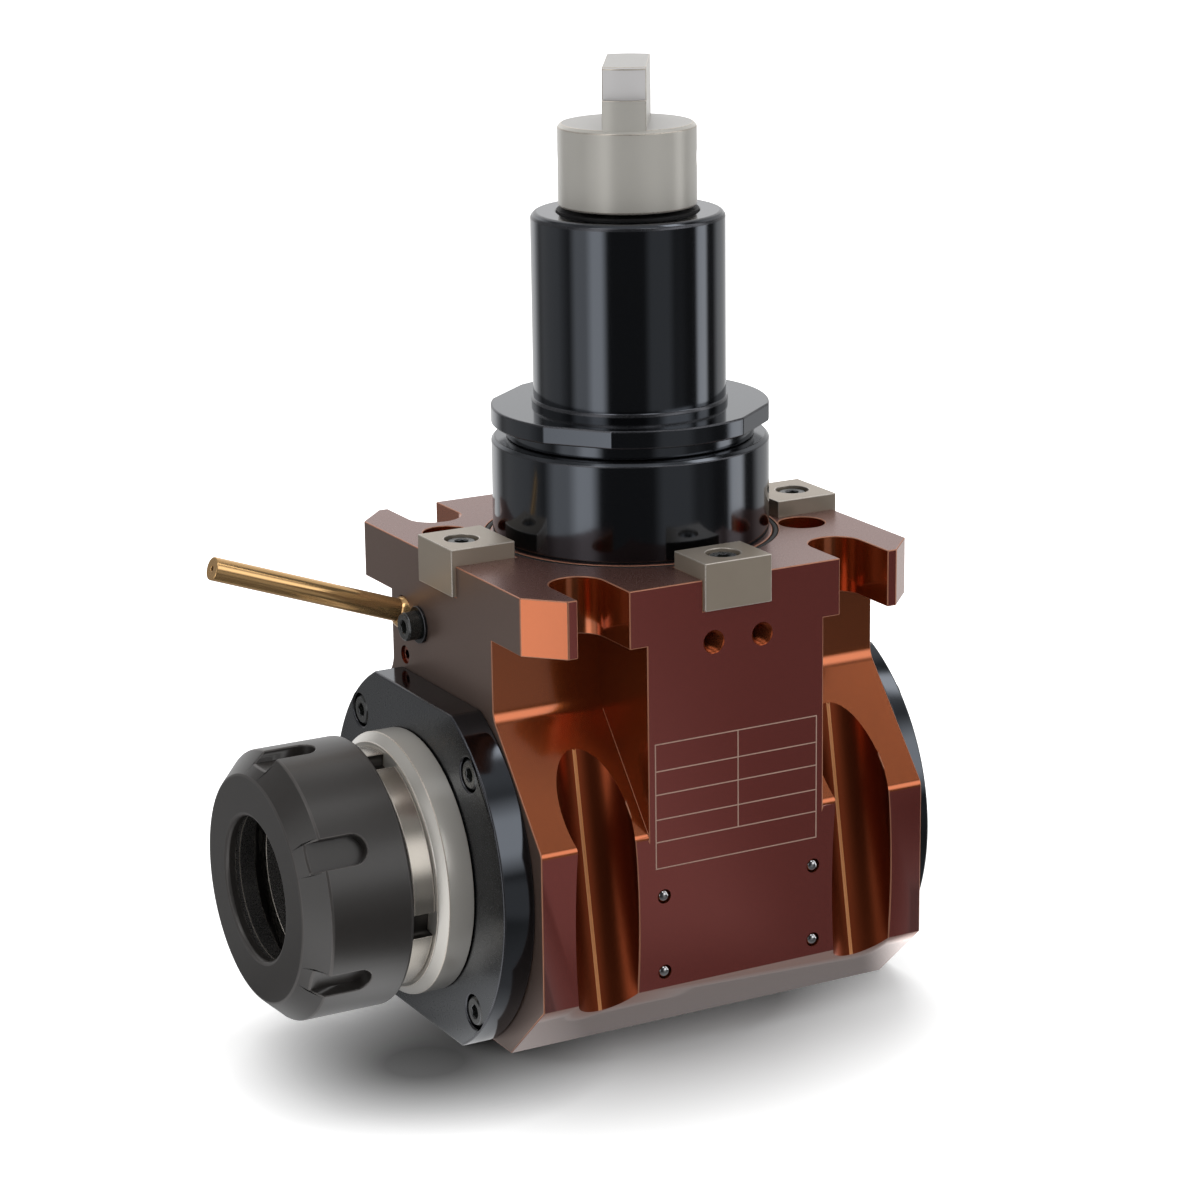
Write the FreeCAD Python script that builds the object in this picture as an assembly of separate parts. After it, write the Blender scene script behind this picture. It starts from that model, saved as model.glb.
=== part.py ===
import FreeCAD, Part
import math
import os

# Right-angle live tool holder for a lathe turret, in millimetres.
# The origin is the centre of the turret face, +Z runs up the drive shank,
# -X points out of the collet and -Y is the plain front face.

V = FreeCAD.Vector

# Fits
slip = 0.02          # radial gap of seats, press fits and running pins
thread_gap = 0.05    # radial gap between plain threads
face_gap = 0.3       # axial gap at a labyrinth or a moving face

# Housing outline
housing_half_y = 48.2
plate_thick = 13.4
corner_cut_x = 7.7
corner_cut_y = 8.1
column_half_x = 23.1
neck_half_y = 25.9
neck_drop = 31.5         # depth of the bend where the flanks start to slope
shoulder_drop = 57.8     # depth where the slope meets the upright flank
flank_drop = 95.0        # depth where the bottom bevel starts
housing_drop = 110.6     # depth of the flat underside
foot_half_y = 31.5
bend_radius = 5.0
shoulder_radius = 2.5
deburr_size = 0.5

# Open bolt slots and the wrench grooves under them
slot_pitch_x = 68.0
slot_pitch_y = 72.6
slot_width = 13.0
groove_radius = 8.2
groove_tilt = 10.3

# Small holes of the housing
front_hole_pitch = 12.7
front_hole_shift = 0.4   # of the pair from the middle, along X
front_hole_drop = 14.7
front_hole_radius = 2.1
front_hole_depth = 12.0
plug_pitch_x = 39.8
plug_shift = 0.65
plug_drops = (72.9, 91.2)
plug_ball_radius = 1.7
plug_ball_inset = 1.4    # from the face to the centre of a ball
feed_hole_radius = 5.5
feed_hole_depth = 6.0
feed_hole_a = (37.6, -15.6)
feed_hole_b = (-38.3, 20.8)
gallery_radius = 2.5
gallery_drop_radius = 3.0

# Locating keys
key_width = 17.4
key_rise = 3.9
key_seat_depth = 7.2
key_inner = 35.3
key_end_gap = 0.2
key_proud = 1.0
key_hole_shift = 1.15    # of the screws of the two X keys, from the middle
key_screw_sink = 0.6
key_deburr = 0.5

# Shank spigot and upper sleeve
spigot_radius = 32.5
spigot_height = 23.4
spigot_chamfer = 0.8
ring_groove_inner = 33.3
ring_groove_width = 1.4
ring_groove_depth = 1.35
pilot_radius = 30.0
pilot_depth = 12.8
spigot_bore = 18.5
spigot_throat = 14.0
spigot_bore_top = -8.0
sleeve_thread_radius = 24.0
sleeve_thread_bottom = 11.4
sleeve_thread_play = 0.4
sleeve_neck_radius = 29.0
flats_disc_bottom = 26.7
flats_disc_top = 31.0
flats_half_angle = 14.4
flats_turn = 38.4
flats_disc_edge = 0.6
sleeve_radius = 22.5
sleeve_foot_rise = 1.3
sleeve_foot_radius = 22.9
sleeve_foot_step = 0.4
sleeve_top = 75.8
sleeve_chamfer = 1.0
sleeve_bore = 14.0
seal_seat_radius = 16.4
seal_play = 0.1
seal_proud = 0.4
circlip_groove_radius = 17.2
circlip_inner_radius = 14.2
circlip_thick = 1.2
circlip_play = 0.1
circlip_opening = 6.0

# Output axis
axis_drop = 71.3

# Mitre gears, 1 to 1
gear_module = 2.2
gear_teeth = 20
gear_face = 9.0
gear_backlash = 0.12
pressure_angle = 20.0
gear_boss = 2.36
chamber_gap = 1.4        # round the gear's teeth
shaft_chamber_step = 0.6

# Bearings
lower_bore = 12.5
lower_outer = 26.0
lower_width = 15.0
lower_ball = 3.9
lower_balls = 9
upper_bore = 10.0
upper_outer = 16.0
upper_width = 7.0
upper_ball = 1.7
upper_balls = 11
front_bore = 20.0
front_outer = 31.0
front_width = 12.0
front_ball = 3.0
front_balls = 14
rear_bore = 8.5
rear_outer = 20.0
rear_width = 12.0
rear_ball = 3.3
rear_balls = 8
race_lip = 0.62          # rise of a ring's shoulder beside the balls, in ball radii
race_angle = 30.0

# Input shaft and drive coupling
shaft_radius = 11.0
pinion_end_gap = 1.2     # from the pinion's end to the output locknut
thread_relief = 0.1      # the threads of the shafts lie this far below their seats
pinion_shoulder = 17.0
locknut_radius = 17.0
locknut_height = 5.0
locknut_notch = 2.0
locknut_notch_width = 5.0
coupling_radius = 16.0
coupling_bottom = 77.0
coupling_top = 96.0
coupling_chamfer = 0.8
coupling_bore_depth = 13.5
coupling_foot = 0.4
tang_thick = 10.0
tang_step = 102.7
tang_top = 110.0
tang_low_radius = 15.4
tang_high_radius = 13.9
tang_chamfer = 0.5
tang_turn = 58.4         # direction of the tang's length, from +X
pin_radius = 2.0
pin_height = 87.5
pin_inset = 0.5

# Spindle, along the output axis from the gear apex towards the collet
gear_seat_radius = 10.0
tail_radius = 9.5
gear_nut_radius = 13.4
gear_nut_width = 5.0
gear_nut_place = 13.4    # its face towards the gear
gear_nut_notch = 1.4
gear_nut_notch_width = 4.0
hub_radius = 13.3
hub_gap = 0.1
gear_key_width = 6.0
gear_key_depth = 3.5
gear_key_height = 6.0
gear_key_length = 8.0
seal_land_radius = 23.0
ring_seat_radius = 24.0
band_radius = 28.0
band_width = 5.6
band_edge = 0.3
notch_width = 6.2
notch_depth = 3.2
notch_turn = -12.0
nose_radius = 25.0       # over the thread for the collet nut
nose_relief = 1.0
nose_length = 15.0
nose_edge = 0.8
taper_mouth_radius = 20.0
taper_angle = 8.0
taper_depth = 36.0
spindle_bore = 13.0
spindle_bore_depth = 20.0
drill_half_angle = 59.0

# Front flange, labyrinth ring and rear cover
cover_radius = 45.0
cover_flat_rise = 40.3
flange_pilot = 0.2955    # the flange's pilot reaches this far in, onto the front bearings
flange_thick = 7.9
flange_lip = 3.0
flange_deburr = 0.5
flange_bore_gap = 0.5
seal_wall = 6.0
labyrinth_radius = 31.0
labyrinth_length = 8.3
labyrinth_chamfer = 2.1
labyrinth_edge = 0.4
cover_screw_radius = 40.3
rear_thick = 4.4
rear_lip_width = 2.0
rear_lip_radius = 17.5
rear_groove_inset = 2.6
rear_ring_section = 2.4

# Collet nut
nut_radius = 31.5
nut_length = 25.4
nut_gap = 1.2            # from the notched band to the nut
nut_face_radius = 26.5
nut_taper_length = 5.3
nut_mouth_radius = 16.8
nut_lip = 2.6
nut_back_edge = 0.5
nut_mouth_edge = 0.6
nut_slots = 6
nut_slot_width = 6.8
nut_slot_length = 16.0
nut_slot_depth = 2.8
nut_ring_width = 6.0
nut_ring_radius = 23.6
nut_ring_mouth = 17.6
nut_ring_back = 20.0
nut_ring_play = 0.1
nut_ring_edge = 1.2
nut_pocket_gap = 0.4

# Coolant nozzle on the collet side
nozzle_y = 19.4
nozzle_drop = 17.75
nozzle_ball_radius = 4.2
nozzle_ball_inset = 1.0
nozzle_radius = 2.75
nozzle_bore = 1.6
nozzle_edge = 0.25
nozzle_outlet = 0.6
nozzle_wall = 2.5        # thickness of the tube's end round its outlet
nozzle_socket = 0.8      # from the ball's centre to the floor of the tube's seat
nozzle_length = 51.9
nozzle_rise = 19.8       # degrees above level, as set at rest
clamp_turn = 5.0         # direction of the clamp screw below the nozzle, from -Y
clamp_gap = 0.05
washer_radius = 4.4
washer_thick = 0.8
washer_gap = 0.15
plug_screw_y = 19.2
plug_screw_drop = 27.9
plug_screw_radius = 2.2
plug_socket = 2.0
plug_socket_depth = 2.5
plug_screw_length = 6.0
plug_screw_sink = 0.5

# Cap screws as (shank radius, head radius, head height, socket across flats)
screw_m4 = (2.0, 3.5, 4.0, 3.0)
screw_m4_low = (2.0, 3.5, 2.8, 2.5)
screw_clamp = (2.0, 3.4, 3.5, 3.0)
head_edge = 0.12         # chamfer of a head, in head heights
socket_floor = 0.45      # floor of a socket, in head heights
counterbore_gap = 0.5
head_sink = 0.2
key_screw_length = 12.0
cover_screw_length = 14.0
rear_screw_length = 10.0
clamp_screw_length = 10.0

# Places that follow from the sizes above
lower_bearing = (lower_bore, lower_outer, lower_width, lower_ball, lower_balls)
upper_bearing = (upper_bore, upper_outer, upper_width, upper_ball, upper_balls)
front_bearing = (front_bore, front_outer, front_width, front_ball, front_balls)
rear_bearing = (rear_bore, rear_outer, rear_width, rear_ball, rear_balls)
pitch_radius = gear_module * gear_teeth / 2
cone_distance = pitch_radius * math.sqrt(2)
dedendum = 1.25 * gear_module
half = math.sqrt(0.5)
heel_root_radius = pitch_radius - dedendum * half
heel_root_reach = pitch_radius + dedendum * half
toe_scale = (cone_distance - gear_face) / cone_distance
tip_radius = pitch_radius + gear_module * half
gear_back = heel_root_reach + gear_boss
gear_front = gear_nut_place + hub_gap
chamber_radius = tip_radius + chamber_gap
lower_stack_bottom = gear_back - axis_drop
lower_stack_top = lower_stack_bottom + 2 * lower_width
front_stack_end = gear_back + 2 * front_width
housing_half_x = front_stack_end + flange_pilot
flange_face = housing_half_x + flange_thick
ring_back = flange_face + face_gap
band_back = ring_back + labyrinth_length
band_front = band_back + band_width
nose_face = band_front + nose_length
nut_back = band_front + nut_gap
nut_face = nut_back + nut_length
rear_stack_start = chamber_radius + rear_lip_width
rear_stack_end = rear_stack_start + rear_width
upper_seat = 63.0
circlip_bottom = upper_seat + upper_width + 2 * circlip_play
seal_bottom = circlip_bottom + circlip_thick + face_gap


def turned(profile):
    """Solid of revolution about Z from a closed outline of (radius, height)."""
    points = [V(r, 0, h) for r, h in profile]
    face = Part.Face(Part.makePolygon(points + points[:1]))
    return face.revolve(V(0, 0, 0), V(0, 0, 1), 360)


def tube(outer, inner, bottom, top):
    return turned([(inner, bottom), (outer, bottom), (outer, top), (inner, top)])


def rod(radius, bottom, top, x=0.0, y=0.0):
    return Part.makeCylinder(radius, top - bottom, V(x, y, bottom))


def block(x0, x1, y0, y1, z0, z1):
    return Part.makeBox(x1 - x0, y1 - y0, z1 - z0, V(x0, y0, z0))


def on_output(shape):
    """Turns a shape built about +Z so that +Z points out of the collet."""
    moved = shape.copy()
    moved.rotate(V(0, 0, 0), V(0, 1, 0), -90)
    moved.translate(V(0, 0, -axis_drop))
    return moved


def on_input(shape):
    """Lifts a shape built above the gear apex to its height."""
    moved = shape.copy()
    moved.translate(V(0, 0, -axis_drop))
    return moved


def turned_copy(shape, angle, axis=V(0, 0, 1), centre=V(0, 0, 0)):
    moved = shape.copy()
    moved.rotate(centre, axis, angle)
    return moved


def hexagon(across, bottom, top):
    corner = across / math.sqrt(3)
    points = [V(corner * math.cos(math.radians(60 * i)), corner * math.sin(math.radians(60 * i)), bottom)
              for i in range(7)]
    return Part.Face(Part.makePolygon(points)).extrude(V(0, 0, top - bottom))


def cap_screw(size, length):
    """Socket cap screw with the underside of its head at z = 0."""
    shank, head, height, across = size
    edge = head_edge * height
    body = turned([(0, -length), (shank, -length), (shank, 0), (head, 0), (head, height - edge),
                   (head - edge, height), (0, height)])
    return body.cut(hexagon(across, socket_floor * height, height + 1))


def deburred(shape, size, chosen):
    """Breaks the edges whose two ends satisfy the chosen test."""
    edges = [e for e in shape.Edges if all(chosen(v.Point) for v in e.Vertexes)]
    return shape.makeChamfer(size, edges)


def housing():
    side = [(neck_half_y, 0), (neck_half_y, -neck_drop), (housing_half_y, -shoulder_drop),
            (housing_half_y, -flank_drop), (foot_half_y, -housing_drop)]
    outline = side + [(-y, z) for y, z in reversed(side)]
    points = [V(-housing_half_x, y, z) for y, z in outline]
    wings = Part.Face(Part.makePolygon(points + points[:1])).extrude(V(2 * housing_half_x, 0, 0))
    bends = [e for e in wings.Edges if all(abs(v.Z + neck_drop) < 0.01 for v in e.Vertexes)
             and abs(e.Vertexes[0].X - e.Vertexes[-1].X) > 1]
    wings = wings.makeFillet(bend_radius, bends)
    shoulders = [e for e in wings.Edges if all(abs(v.Z + shoulder_drop) < 0.01 for v in e.Vertexes)
                 and abs(e.Vertexes[0].X - e.Vertexes[-1].X) > 1]
    wings = wings.makeFillet(shoulder_radius, shoulders)

    column = block(-column_half_x, column_half_x, -housing_half_y, housing_half_y,
                   -flank_drop + bend_radius, 0)
    a, b = housing_half_x, housing_half_y
    c, d = housing_half_x - corner_cut_x, housing_half_y - corner_cut_y
    corners = [V(a, d, 0), V(c, b, 0), V(-c, b, 0), V(-a, d, 0),
               V(-a, -d, 0), V(-c, -b, 0), V(c, -b, 0), V(a, -d, 0)]
    plate = Part.Face(Part.makePolygon(corners + corners[:1])).extrude(V(0, 0, -plate_thick))

    slot_x, slot_y = slot_pitch_x / 2, slot_pitch_y / 2
    for sx in (-1, 1):
        for sy in (-1, 1):
            plate = plate.cut(rod(slot_width / 2, -plate_thick, 0, sx * slot_x, sy * slot_y))
            near, far = sorted((sy * slot_y, sy * (housing_half_y + 1)))
            plate = plate.cut(block(sx * slot_x - slot_width / 2, sx * slot_x + slot_width / 2,
                                    near, far, -plate_thick, 0))
    body = wings.fuse([column, plate]).removeSplitter()
    body = deburred(body, deburr_size, lambda p: abs(abs(p.x) - housing_half_x) < 0.01)

    for sx in (-1, 1):
        for sy in (-1, 1):
            groove = rod(groove_radius, -2 * housing_drop, 0)
            groove.rotate(V(0, 0, 0), V(1, 0, 0), sy * groove_tilt)
            groove.translate(V(sx * slot_x, sy * slot_y, -plate_thick))
            below = block(-housing_half_x, housing_half_x, -2 * housing_half_y, 2 * housing_half_y,
                          -2 * housing_drop, -plate_thick - 0.01)
            body = body.cut(groove.common(below))
    return body


def bored_housing():
    body = housing()
    for angle, reach, shift in key_places():
        seat = block(key_inner - key_end_gap, reach + 2, -key_width / 2 - slip, key_width / 2 + slip,
                     -key_seat_depth, 1)
        body = body.cut(turned_copy(seat, angle))
        hole = rod(screw_m4[0] + slip, key_screw_seat() - key_screw_length - 1, 0, key_hole(reach, shift), 0)
        body = body.cut(turned_copy(hole, angle))

    body = body.cut(tube(ring_groove_inner + ring_groove_width, ring_groove_inner, -ring_groove_depth, 1))
    body = body.cut(rod(pilot_radius + slip, -pilot_depth, 1))
    body = body.cut(rod(lower_outer + slip, lower_stack_bottom, 1))
    body = body.cut(rod(chamber_radius - shaft_chamber_step, -axis_drop, 0))

    bores = rod(chamber_radius, -chamber_radius, housing_half_x)
    bores = bores.fuse(rod(front_outer + slip, gear_back, housing_half_x + 1))
    bores = bores.fuse(rod(rear_lip_radius, -housing_half_x - 1, 0))
    bores = bores.fuse(rod(rear_outer + slip, -housing_half_x - 1, -rear_stack_start))
    body = body.cut(on_output(bores))

    for side in (-1, 1):
        mouth = V(front_hole_shift + side * front_hole_pitch / 2, -housing_half_y, -front_hole_drop)
        hole = Part.makeCylinder(front_hole_radius, front_hole_depth, mouth, V(0, 1, 0))
        body = body.cut(hole)
    for centre in plug_places():
        depth = plug_ball_inset + plug_ball_radius + slip
        mouth = V(centre.x, -housing_half_y, centre.z)
        hole = Part.makeCylinder(plug_ball_radius + slip, depth, mouth, V(0, 1, 0))
        body = body.cut(hole)
    for x, y in (feed_hole_a, feed_hole_b):
        body = body.cut(rod(feed_hole_radius, -feed_hole_depth, 1, x, y))

    seat_depth = nozzle_ball_inset + nozzle_ball_radius + slip
    seat = Part.makeCylinder(nozzle_ball_radius + clamp_gap, seat_depth, nozzle_mouth(), V(1, 0, 0))
    body = body.cut(seat)
    gallery_length = housing_half_x + feed_hole_b[0]
    gallery = Part.makeCylinder(gallery_radius, gallery_length, nozzle_mouth(), V(1, 0, 0))
    body = body.cut(gallery)
    body = body.cut(rod(gallery_drop_radius, -nozzle_drop, 0, feed_hole_b[0], nozzle_y))
    clamp_depth = clamp_screw_length + 1
    body = body.cut(Part.makeCylinder(screw_clamp[0] + slip, clamp_depth, clamp_mouth(), V(1, 0, 0)))
    plug_depth = plug_screw_length + plug_screw_sink
    body = body.cut(Part.makeCylinder(plug_screw_radius + slip, plug_depth, plug_mouth(), V(1, 0, 0)))
    for y, z in cover_screw_places():
        bore = screw_m4[0] + slip
        front = Part.makeCylinder(bore, cover_screw_length, V(-housing_half_x, y, z), V(1, 0, 0))
        rear = Part.makeCylinder(bore, rear_screw_length, V(housing_half_x, y, z), V(-1, 0, 0))
        body = body.cut([front, rear])
    return body


def key_places():
    """Angle of each key about Z, the plate's reach on that side and the shift of its screw."""
    return ((0, housing_half_x, key_hole_shift), (90, housing_half_y, 0.0),
            (180, housing_half_x, key_hole_shift), (270, housing_half_y, 0.0))


def key_hole(reach, shift):
    """Distance of a key's screw from the middle of the face."""
    return (key_inner + reach + key_proud) / 2 + shift


def key_screw_seat():
    return key_rise - screw_m4[2] - key_screw_sink


def plug_places():
    return [V(plug_shift + side * plug_pitch_x / 2, plug_ball_inset - housing_half_y, -drop)
            for side in (-1, 1) for drop in plug_drops]


def nozzle_mouth():
    return V(-housing_half_x, nozzle_y, -nozzle_drop)


def clamp_mouth():
    """The clamp's washer bears on the ball just outside the housing's face."""
    ball_at_face = math.sqrt(nozzle_ball_radius ** 2 - nozzle_ball_inset ** 2)
    reach = ball_at_face + clamp_gap + washer_radius
    turn = math.radians(clamp_turn)
    return nozzle_mouth() + V(0, -reach * math.cos(turn), -reach * math.sin(turn))


def plug_mouth():
    return V(-housing_half_x, plug_screw_y, -plug_screw_drop)


def cover_screw_places():
    offset = cover_screw_radius * half
    return [(sy * offset, sz * offset - axis_drop) for sy in (-1, 1) for sz in (-1, 1)]


def locating_key(angle, reach, shift):
    outer = reach + key_proud
    blank = block(key_inner, outer, -key_width / 2, key_width / 2, -key_seat_depth, key_rise)
    blank = deburred(blank, key_deburr, lambda p: p.z > 0 or abs(p.x - outer) < 0.01)
    x = key_hole(reach, shift)
    shank, head, height, across = screw_m4
    blank = blank.cut(rod(shank + counterbore_gap / 2, -key_seat_depth - 1, key_rise + 1, x))
    blank = blank.cut(rod(head + counterbore_gap, key_screw_seat(), key_rise + 1, x))
    return turned_copy(blank, angle)


def key_screw(angle, reach, shift):
    screw = cap_screw(screw_m4, key_screw_length)
    screw.translate(V(key_hole(reach, shift), 0, key_screw_seat()))
    return turned_copy(screw, angle)


def spigot():
    top = spigot_height
    thread = sleeve_thread_radius + thread_gap
    floor = sleeve_thread_bottom - sleeve_thread_play
    return turned([
        (spigot_bore, lower_stack_top), (lower_outer - slip, lower_stack_top),
        (lower_outer - slip, -pilot_depth), (pilot_radius, -pilot_depth),
        (pilot_radius, 0), (spigot_radius, 0),
        (spigot_radius, top - spigot_chamfer), (spigot_radius - spigot_chamfer, top),
        (thread, top), (thread, floor), (spigot_throat, floor), (spigot_throat, spigot_bore_top),
        (spigot_bore, spigot_bore_top)])


def upper_sleeve():
    seat = upper_outer + slip
    mouth = seal_seat_radius + slip
    edge = flats_disc_edge
    foot = flats_disc_top + sleeve_foot_rise
    body = turned([
        (sleeve_bore, sleeve_thread_bottom), (sleeve_thread_radius, sleeve_thread_bottom),
        (sleeve_thread_radius, spigot_height), (sleeve_neck_radius, spigot_height),
        (sleeve_neck_radius, flats_disc_bottom), (spigot_radius - edge, flats_disc_bottom),
        (spigot_radius, flats_disc_bottom + edge), (spigot_radius, flats_disc_top - edge),
        (spigot_radius - edge, flats_disc_top),
        (sleeve_foot_radius, flats_disc_top), (sleeve_foot_radius, foot),
        (sleeve_radius, foot + sleeve_foot_step), (sleeve_radius, sleeve_top - sleeve_chamfer),
        (sleeve_radius - sleeve_chamfer, sleeve_top), (mouth, sleeve_top), (mouth, seal_bottom),
        (seat, seal_bottom), (seat, upper_seat), (sleeve_bore, upper_seat)])
    groove = tube(circlip_groove_radius, sleeve_bore - 1, circlip_bottom - circlip_play,
                  circlip_bottom + circlip_thick + circlip_play)
    body = body.cut(groove)
    flat_reach = spigot_radius * math.cos(math.radians(flats_half_angle))
    for i in range(4):
        flat = block(flat_reach, spigot_radius + 1, -spigot_radius, spigot_radius,
                     flats_disc_bottom - 0.5, flats_disc_top + 0.5)
        body = body.cut(turned_copy(flat, flats_turn + 90 * i))
    return body


def face_ring():
    """O-ring in the groove of the turret face."""
    section = ring_groove_width / 2 - slip
    centre = V(0, 0, section + slip - ring_groove_depth)
    return Part.makeTorus(ring_groove_inner + ring_groove_width / 2, section, centre)


def circlip():
    top = circlip_bottom + circlip_thick
    ring = tube(circlip_groove_radius - circlip_play, circlip_inner_radius, circlip_bottom, top)
    gap = block(0, circlip_groove_radius + 1, -circlip_opening / 2, circlip_opening / 2,
                circlip_bottom - 1, top + 1)
    return ring.cut(gap)


def upper_seal():
    return tube(seal_seat_radius, upper_bore + slip, seal_bottom + seal_play, sleeve_top + seal_proud)


def bearing_parts(size):
    """Inner ring, outer ring and balls of one bearing, standing on z = 0."""
    bore, outer, width, ball, count = size
    pitch = (bore + outer) / 2
    lip = ball * race_lip
    root = (ball + slip) / math.cos(math.radians(race_angle))
    run = (root - lip) / math.tan(math.radians(race_angle))
    middle = width / 2
    inner = turned([(bore, 0), (pitch - lip, 0), (pitch - lip, middle - run), (pitch - root, middle),
                    (pitch - lip, middle + run), (pitch - lip, width), (bore, width)])
    ring = turned([(outer, 0), (outer, width), (pitch + lip, width), (pitch + lip, middle + run),
                   (pitch + root, middle), (pitch + lip, middle - run), (pitch + lip, 0)])
    balls = []
    for i in range(count):
        angle = 2 * math.pi * i / count
        balls.append(Part.makeSphere(ball, V(pitch * math.cos(angle), pitch * math.sin(angle), middle)))
    return inner, ring, balls


def bearing_stack(size, start, copies, place):
    """Bearings side by side, as lists of inner rings, outer rings and balls."""
    inners, outers, balls = [], [], []
    for i in range(copies):
        for group, shapes in zip((inners, outers, balls), bearing_parts(size)):
            for shape in shapes if isinstance(shapes, list) else [shapes]:
                lifted = shape.copy()
                lifted.translate(V(0, 0, start + i * size[2]))
                group.append(place(lifted))
    return inners, outers, balls


def involute(angle):
    return math.tan(angle) - angle


def gear_tooth():
    """One tooth on the pitch cone of a mitre gear, its apex at the origin and its axis +Z."""
    base = cone_distance * math.cos(math.radians(pressure_angle))
    half_tooth = math.pi * gear_module / 4 - gear_backlash
    at_pitch = half_tooth / cone_distance + involute(math.radians(pressure_angle))
    radii = [cone_distance - dedendum - 0.3, base + 0.05, cone_distance,
             cone_distance + gear_module / 2, cone_distance + gear_module]
    flank = []
    for radius in radii:
        turn = at_pitch - involute(math.acos(min(1.0, base / radius)))
        flank.append((radius * math.sin(turn), radius * math.cos(turn) - cone_distance))
    outline = flank + [(-s, h) for s, h in reversed(flank)]
    wires = []
    for scale in (1.0, toe_scale):
        points = []
        for side, rise in outline:
            points.append(V((cone_distance * half + rise * half) * scale, side * scale,
                            (cone_distance * half - rise * half) * scale))
        wires.append(Part.makePolygon(points + points[:1]))
    return Part.makeLoft(wires, True, True)


def gear_teeth_ring(turn):
    tooth = gear_tooth()
    return [turned_copy(tooth, turn + 360.0 / gear_teeth * i) for i in range(gear_teeth)]


def root_cone():
    """Outline of the gear blank between its teeth, from the hub to the heel."""
    toe_radius, toe_reach = heel_root_radius * toe_scale, heel_root_reach * toe_scale
    return [(hub_radius, toe_reach - toe_radius + hub_radius), (toe_radius, toe_reach),
            (heel_root_radius, heel_root_reach)]


def output_gear():
    bore = gear_seat_radius + slip
    rim = heel_root_radius + gear_boss
    blank = turned([(bore, gear_front), (hub_radius, gear_front)] + root_cone()
                   + [(rim, gear_back - gear_boss / 2), (rim, gear_back), (bore, gear_back)])
    gear = blank.fuse(gear_teeth_ring(0)).removeSplitter()
    key = gear_key_block(slip)
    return on_output(gear.cut(key))


def gear_key_block(gap):
    """The gear's key along +Z, or with a gap the seat for it."""
    floor = gear_seat_radius - gear_key_depth
    side = gear_key_width / 2
    return block(floor - gap, floor + gear_key_height + gap, -side - gap, side + gap,
                 gear_back - gear_key_length - gap, gear_back)


def input_shaft():
    seat = lower_bore - slip
    thread = seat - thread_relief
    tail = upper_bore - slip
    start = gear_nut_radius + pinion_end_gap
    nut_seat = lower_stack_top + axis_drop
    nut_end = nut_seat + locknut_height + thread_relief
    shoulder = upper_seat + axis_drop
    end = coupling_bottom + coupling_bore_depth - key_end_gap + axis_drop
    blank = turned([(0, start), (hub_radius, start)] + root_cone()
                   + [(pinion_shoulder, gear_back), (seat, gear_back), (seat, nut_seat), (thread, nut_seat),
                      (thread, nut_end), (shaft_radius, nut_end), (shaft_radius, shoulder), (tail, shoulder),
                      (tail, end), (0, end)])
    shaft = on_input(blank.fuse(gear_teeth_ring(180.0 / gear_teeth)).removeSplitter())
    return shaft.cut(pin_body(slip))


def pin_body(gap):
    """The cross pin of the coupling, square to the tang, or its hole."""
    reach = coupling_radius + (1 if gap else -pin_inset)
    pin = Part.makeCylinder(pin_radius + gap, 2 * reach, V(-reach, 0, pin_height), V(1, 0, 0))
    return turned_copy(pin, tang_turn - 90)


def drive_coupling():
    bore = upper_bore
    foot = coupling_foot
    floor = coupling_bottom + coupling_bore_depth
    collar = turned([
        (bore, coupling_bottom), (coupling_radius - foot, coupling_bottom),
        (coupling_radius, coupling_bottom + foot), (coupling_radius, coupling_top - coupling_chamfer),
        (coupling_radius - coupling_chamfer, coupling_top), (0, coupling_top), (0, floor), (bore, floor)])
    low = rod(tang_low_radius, coupling_top - 1, tang_step)
    high = turned([(0, tang_step - 1), (tang_high_radius, tang_step - 1),
                   (tang_high_radius, tang_top - tang_chamfer), (tang_high_radius - tang_chamfer, tang_top),
                   (0, tang_top)])
    width = block(-coupling_radius, coupling_radius, -tang_thick / 2, tang_thick / 2,
                  coupling_top - 1, tang_top + 1)
    tang = turned_copy(low.fuse(high).common(width), tang_turn)
    return collar.fuse(tang).removeSplitter().cut(pin_body(slip))


def input_locknut():
    bore = lower_bore - thread_relief
    nut = tube(locknut_radius, bore, lower_stack_top, lower_stack_top + locknut_height)
    for i in range(4):
        notch = block(locknut_radius - locknut_notch, locknut_radius + 1, -locknut_notch_width / 2,
                      locknut_notch_width / 2, lower_stack_top, lower_stack_top + locknut_height + 1)
        nut = nut.cut(turned_copy(notch, 90 * i + 45))
    return nut


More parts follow.
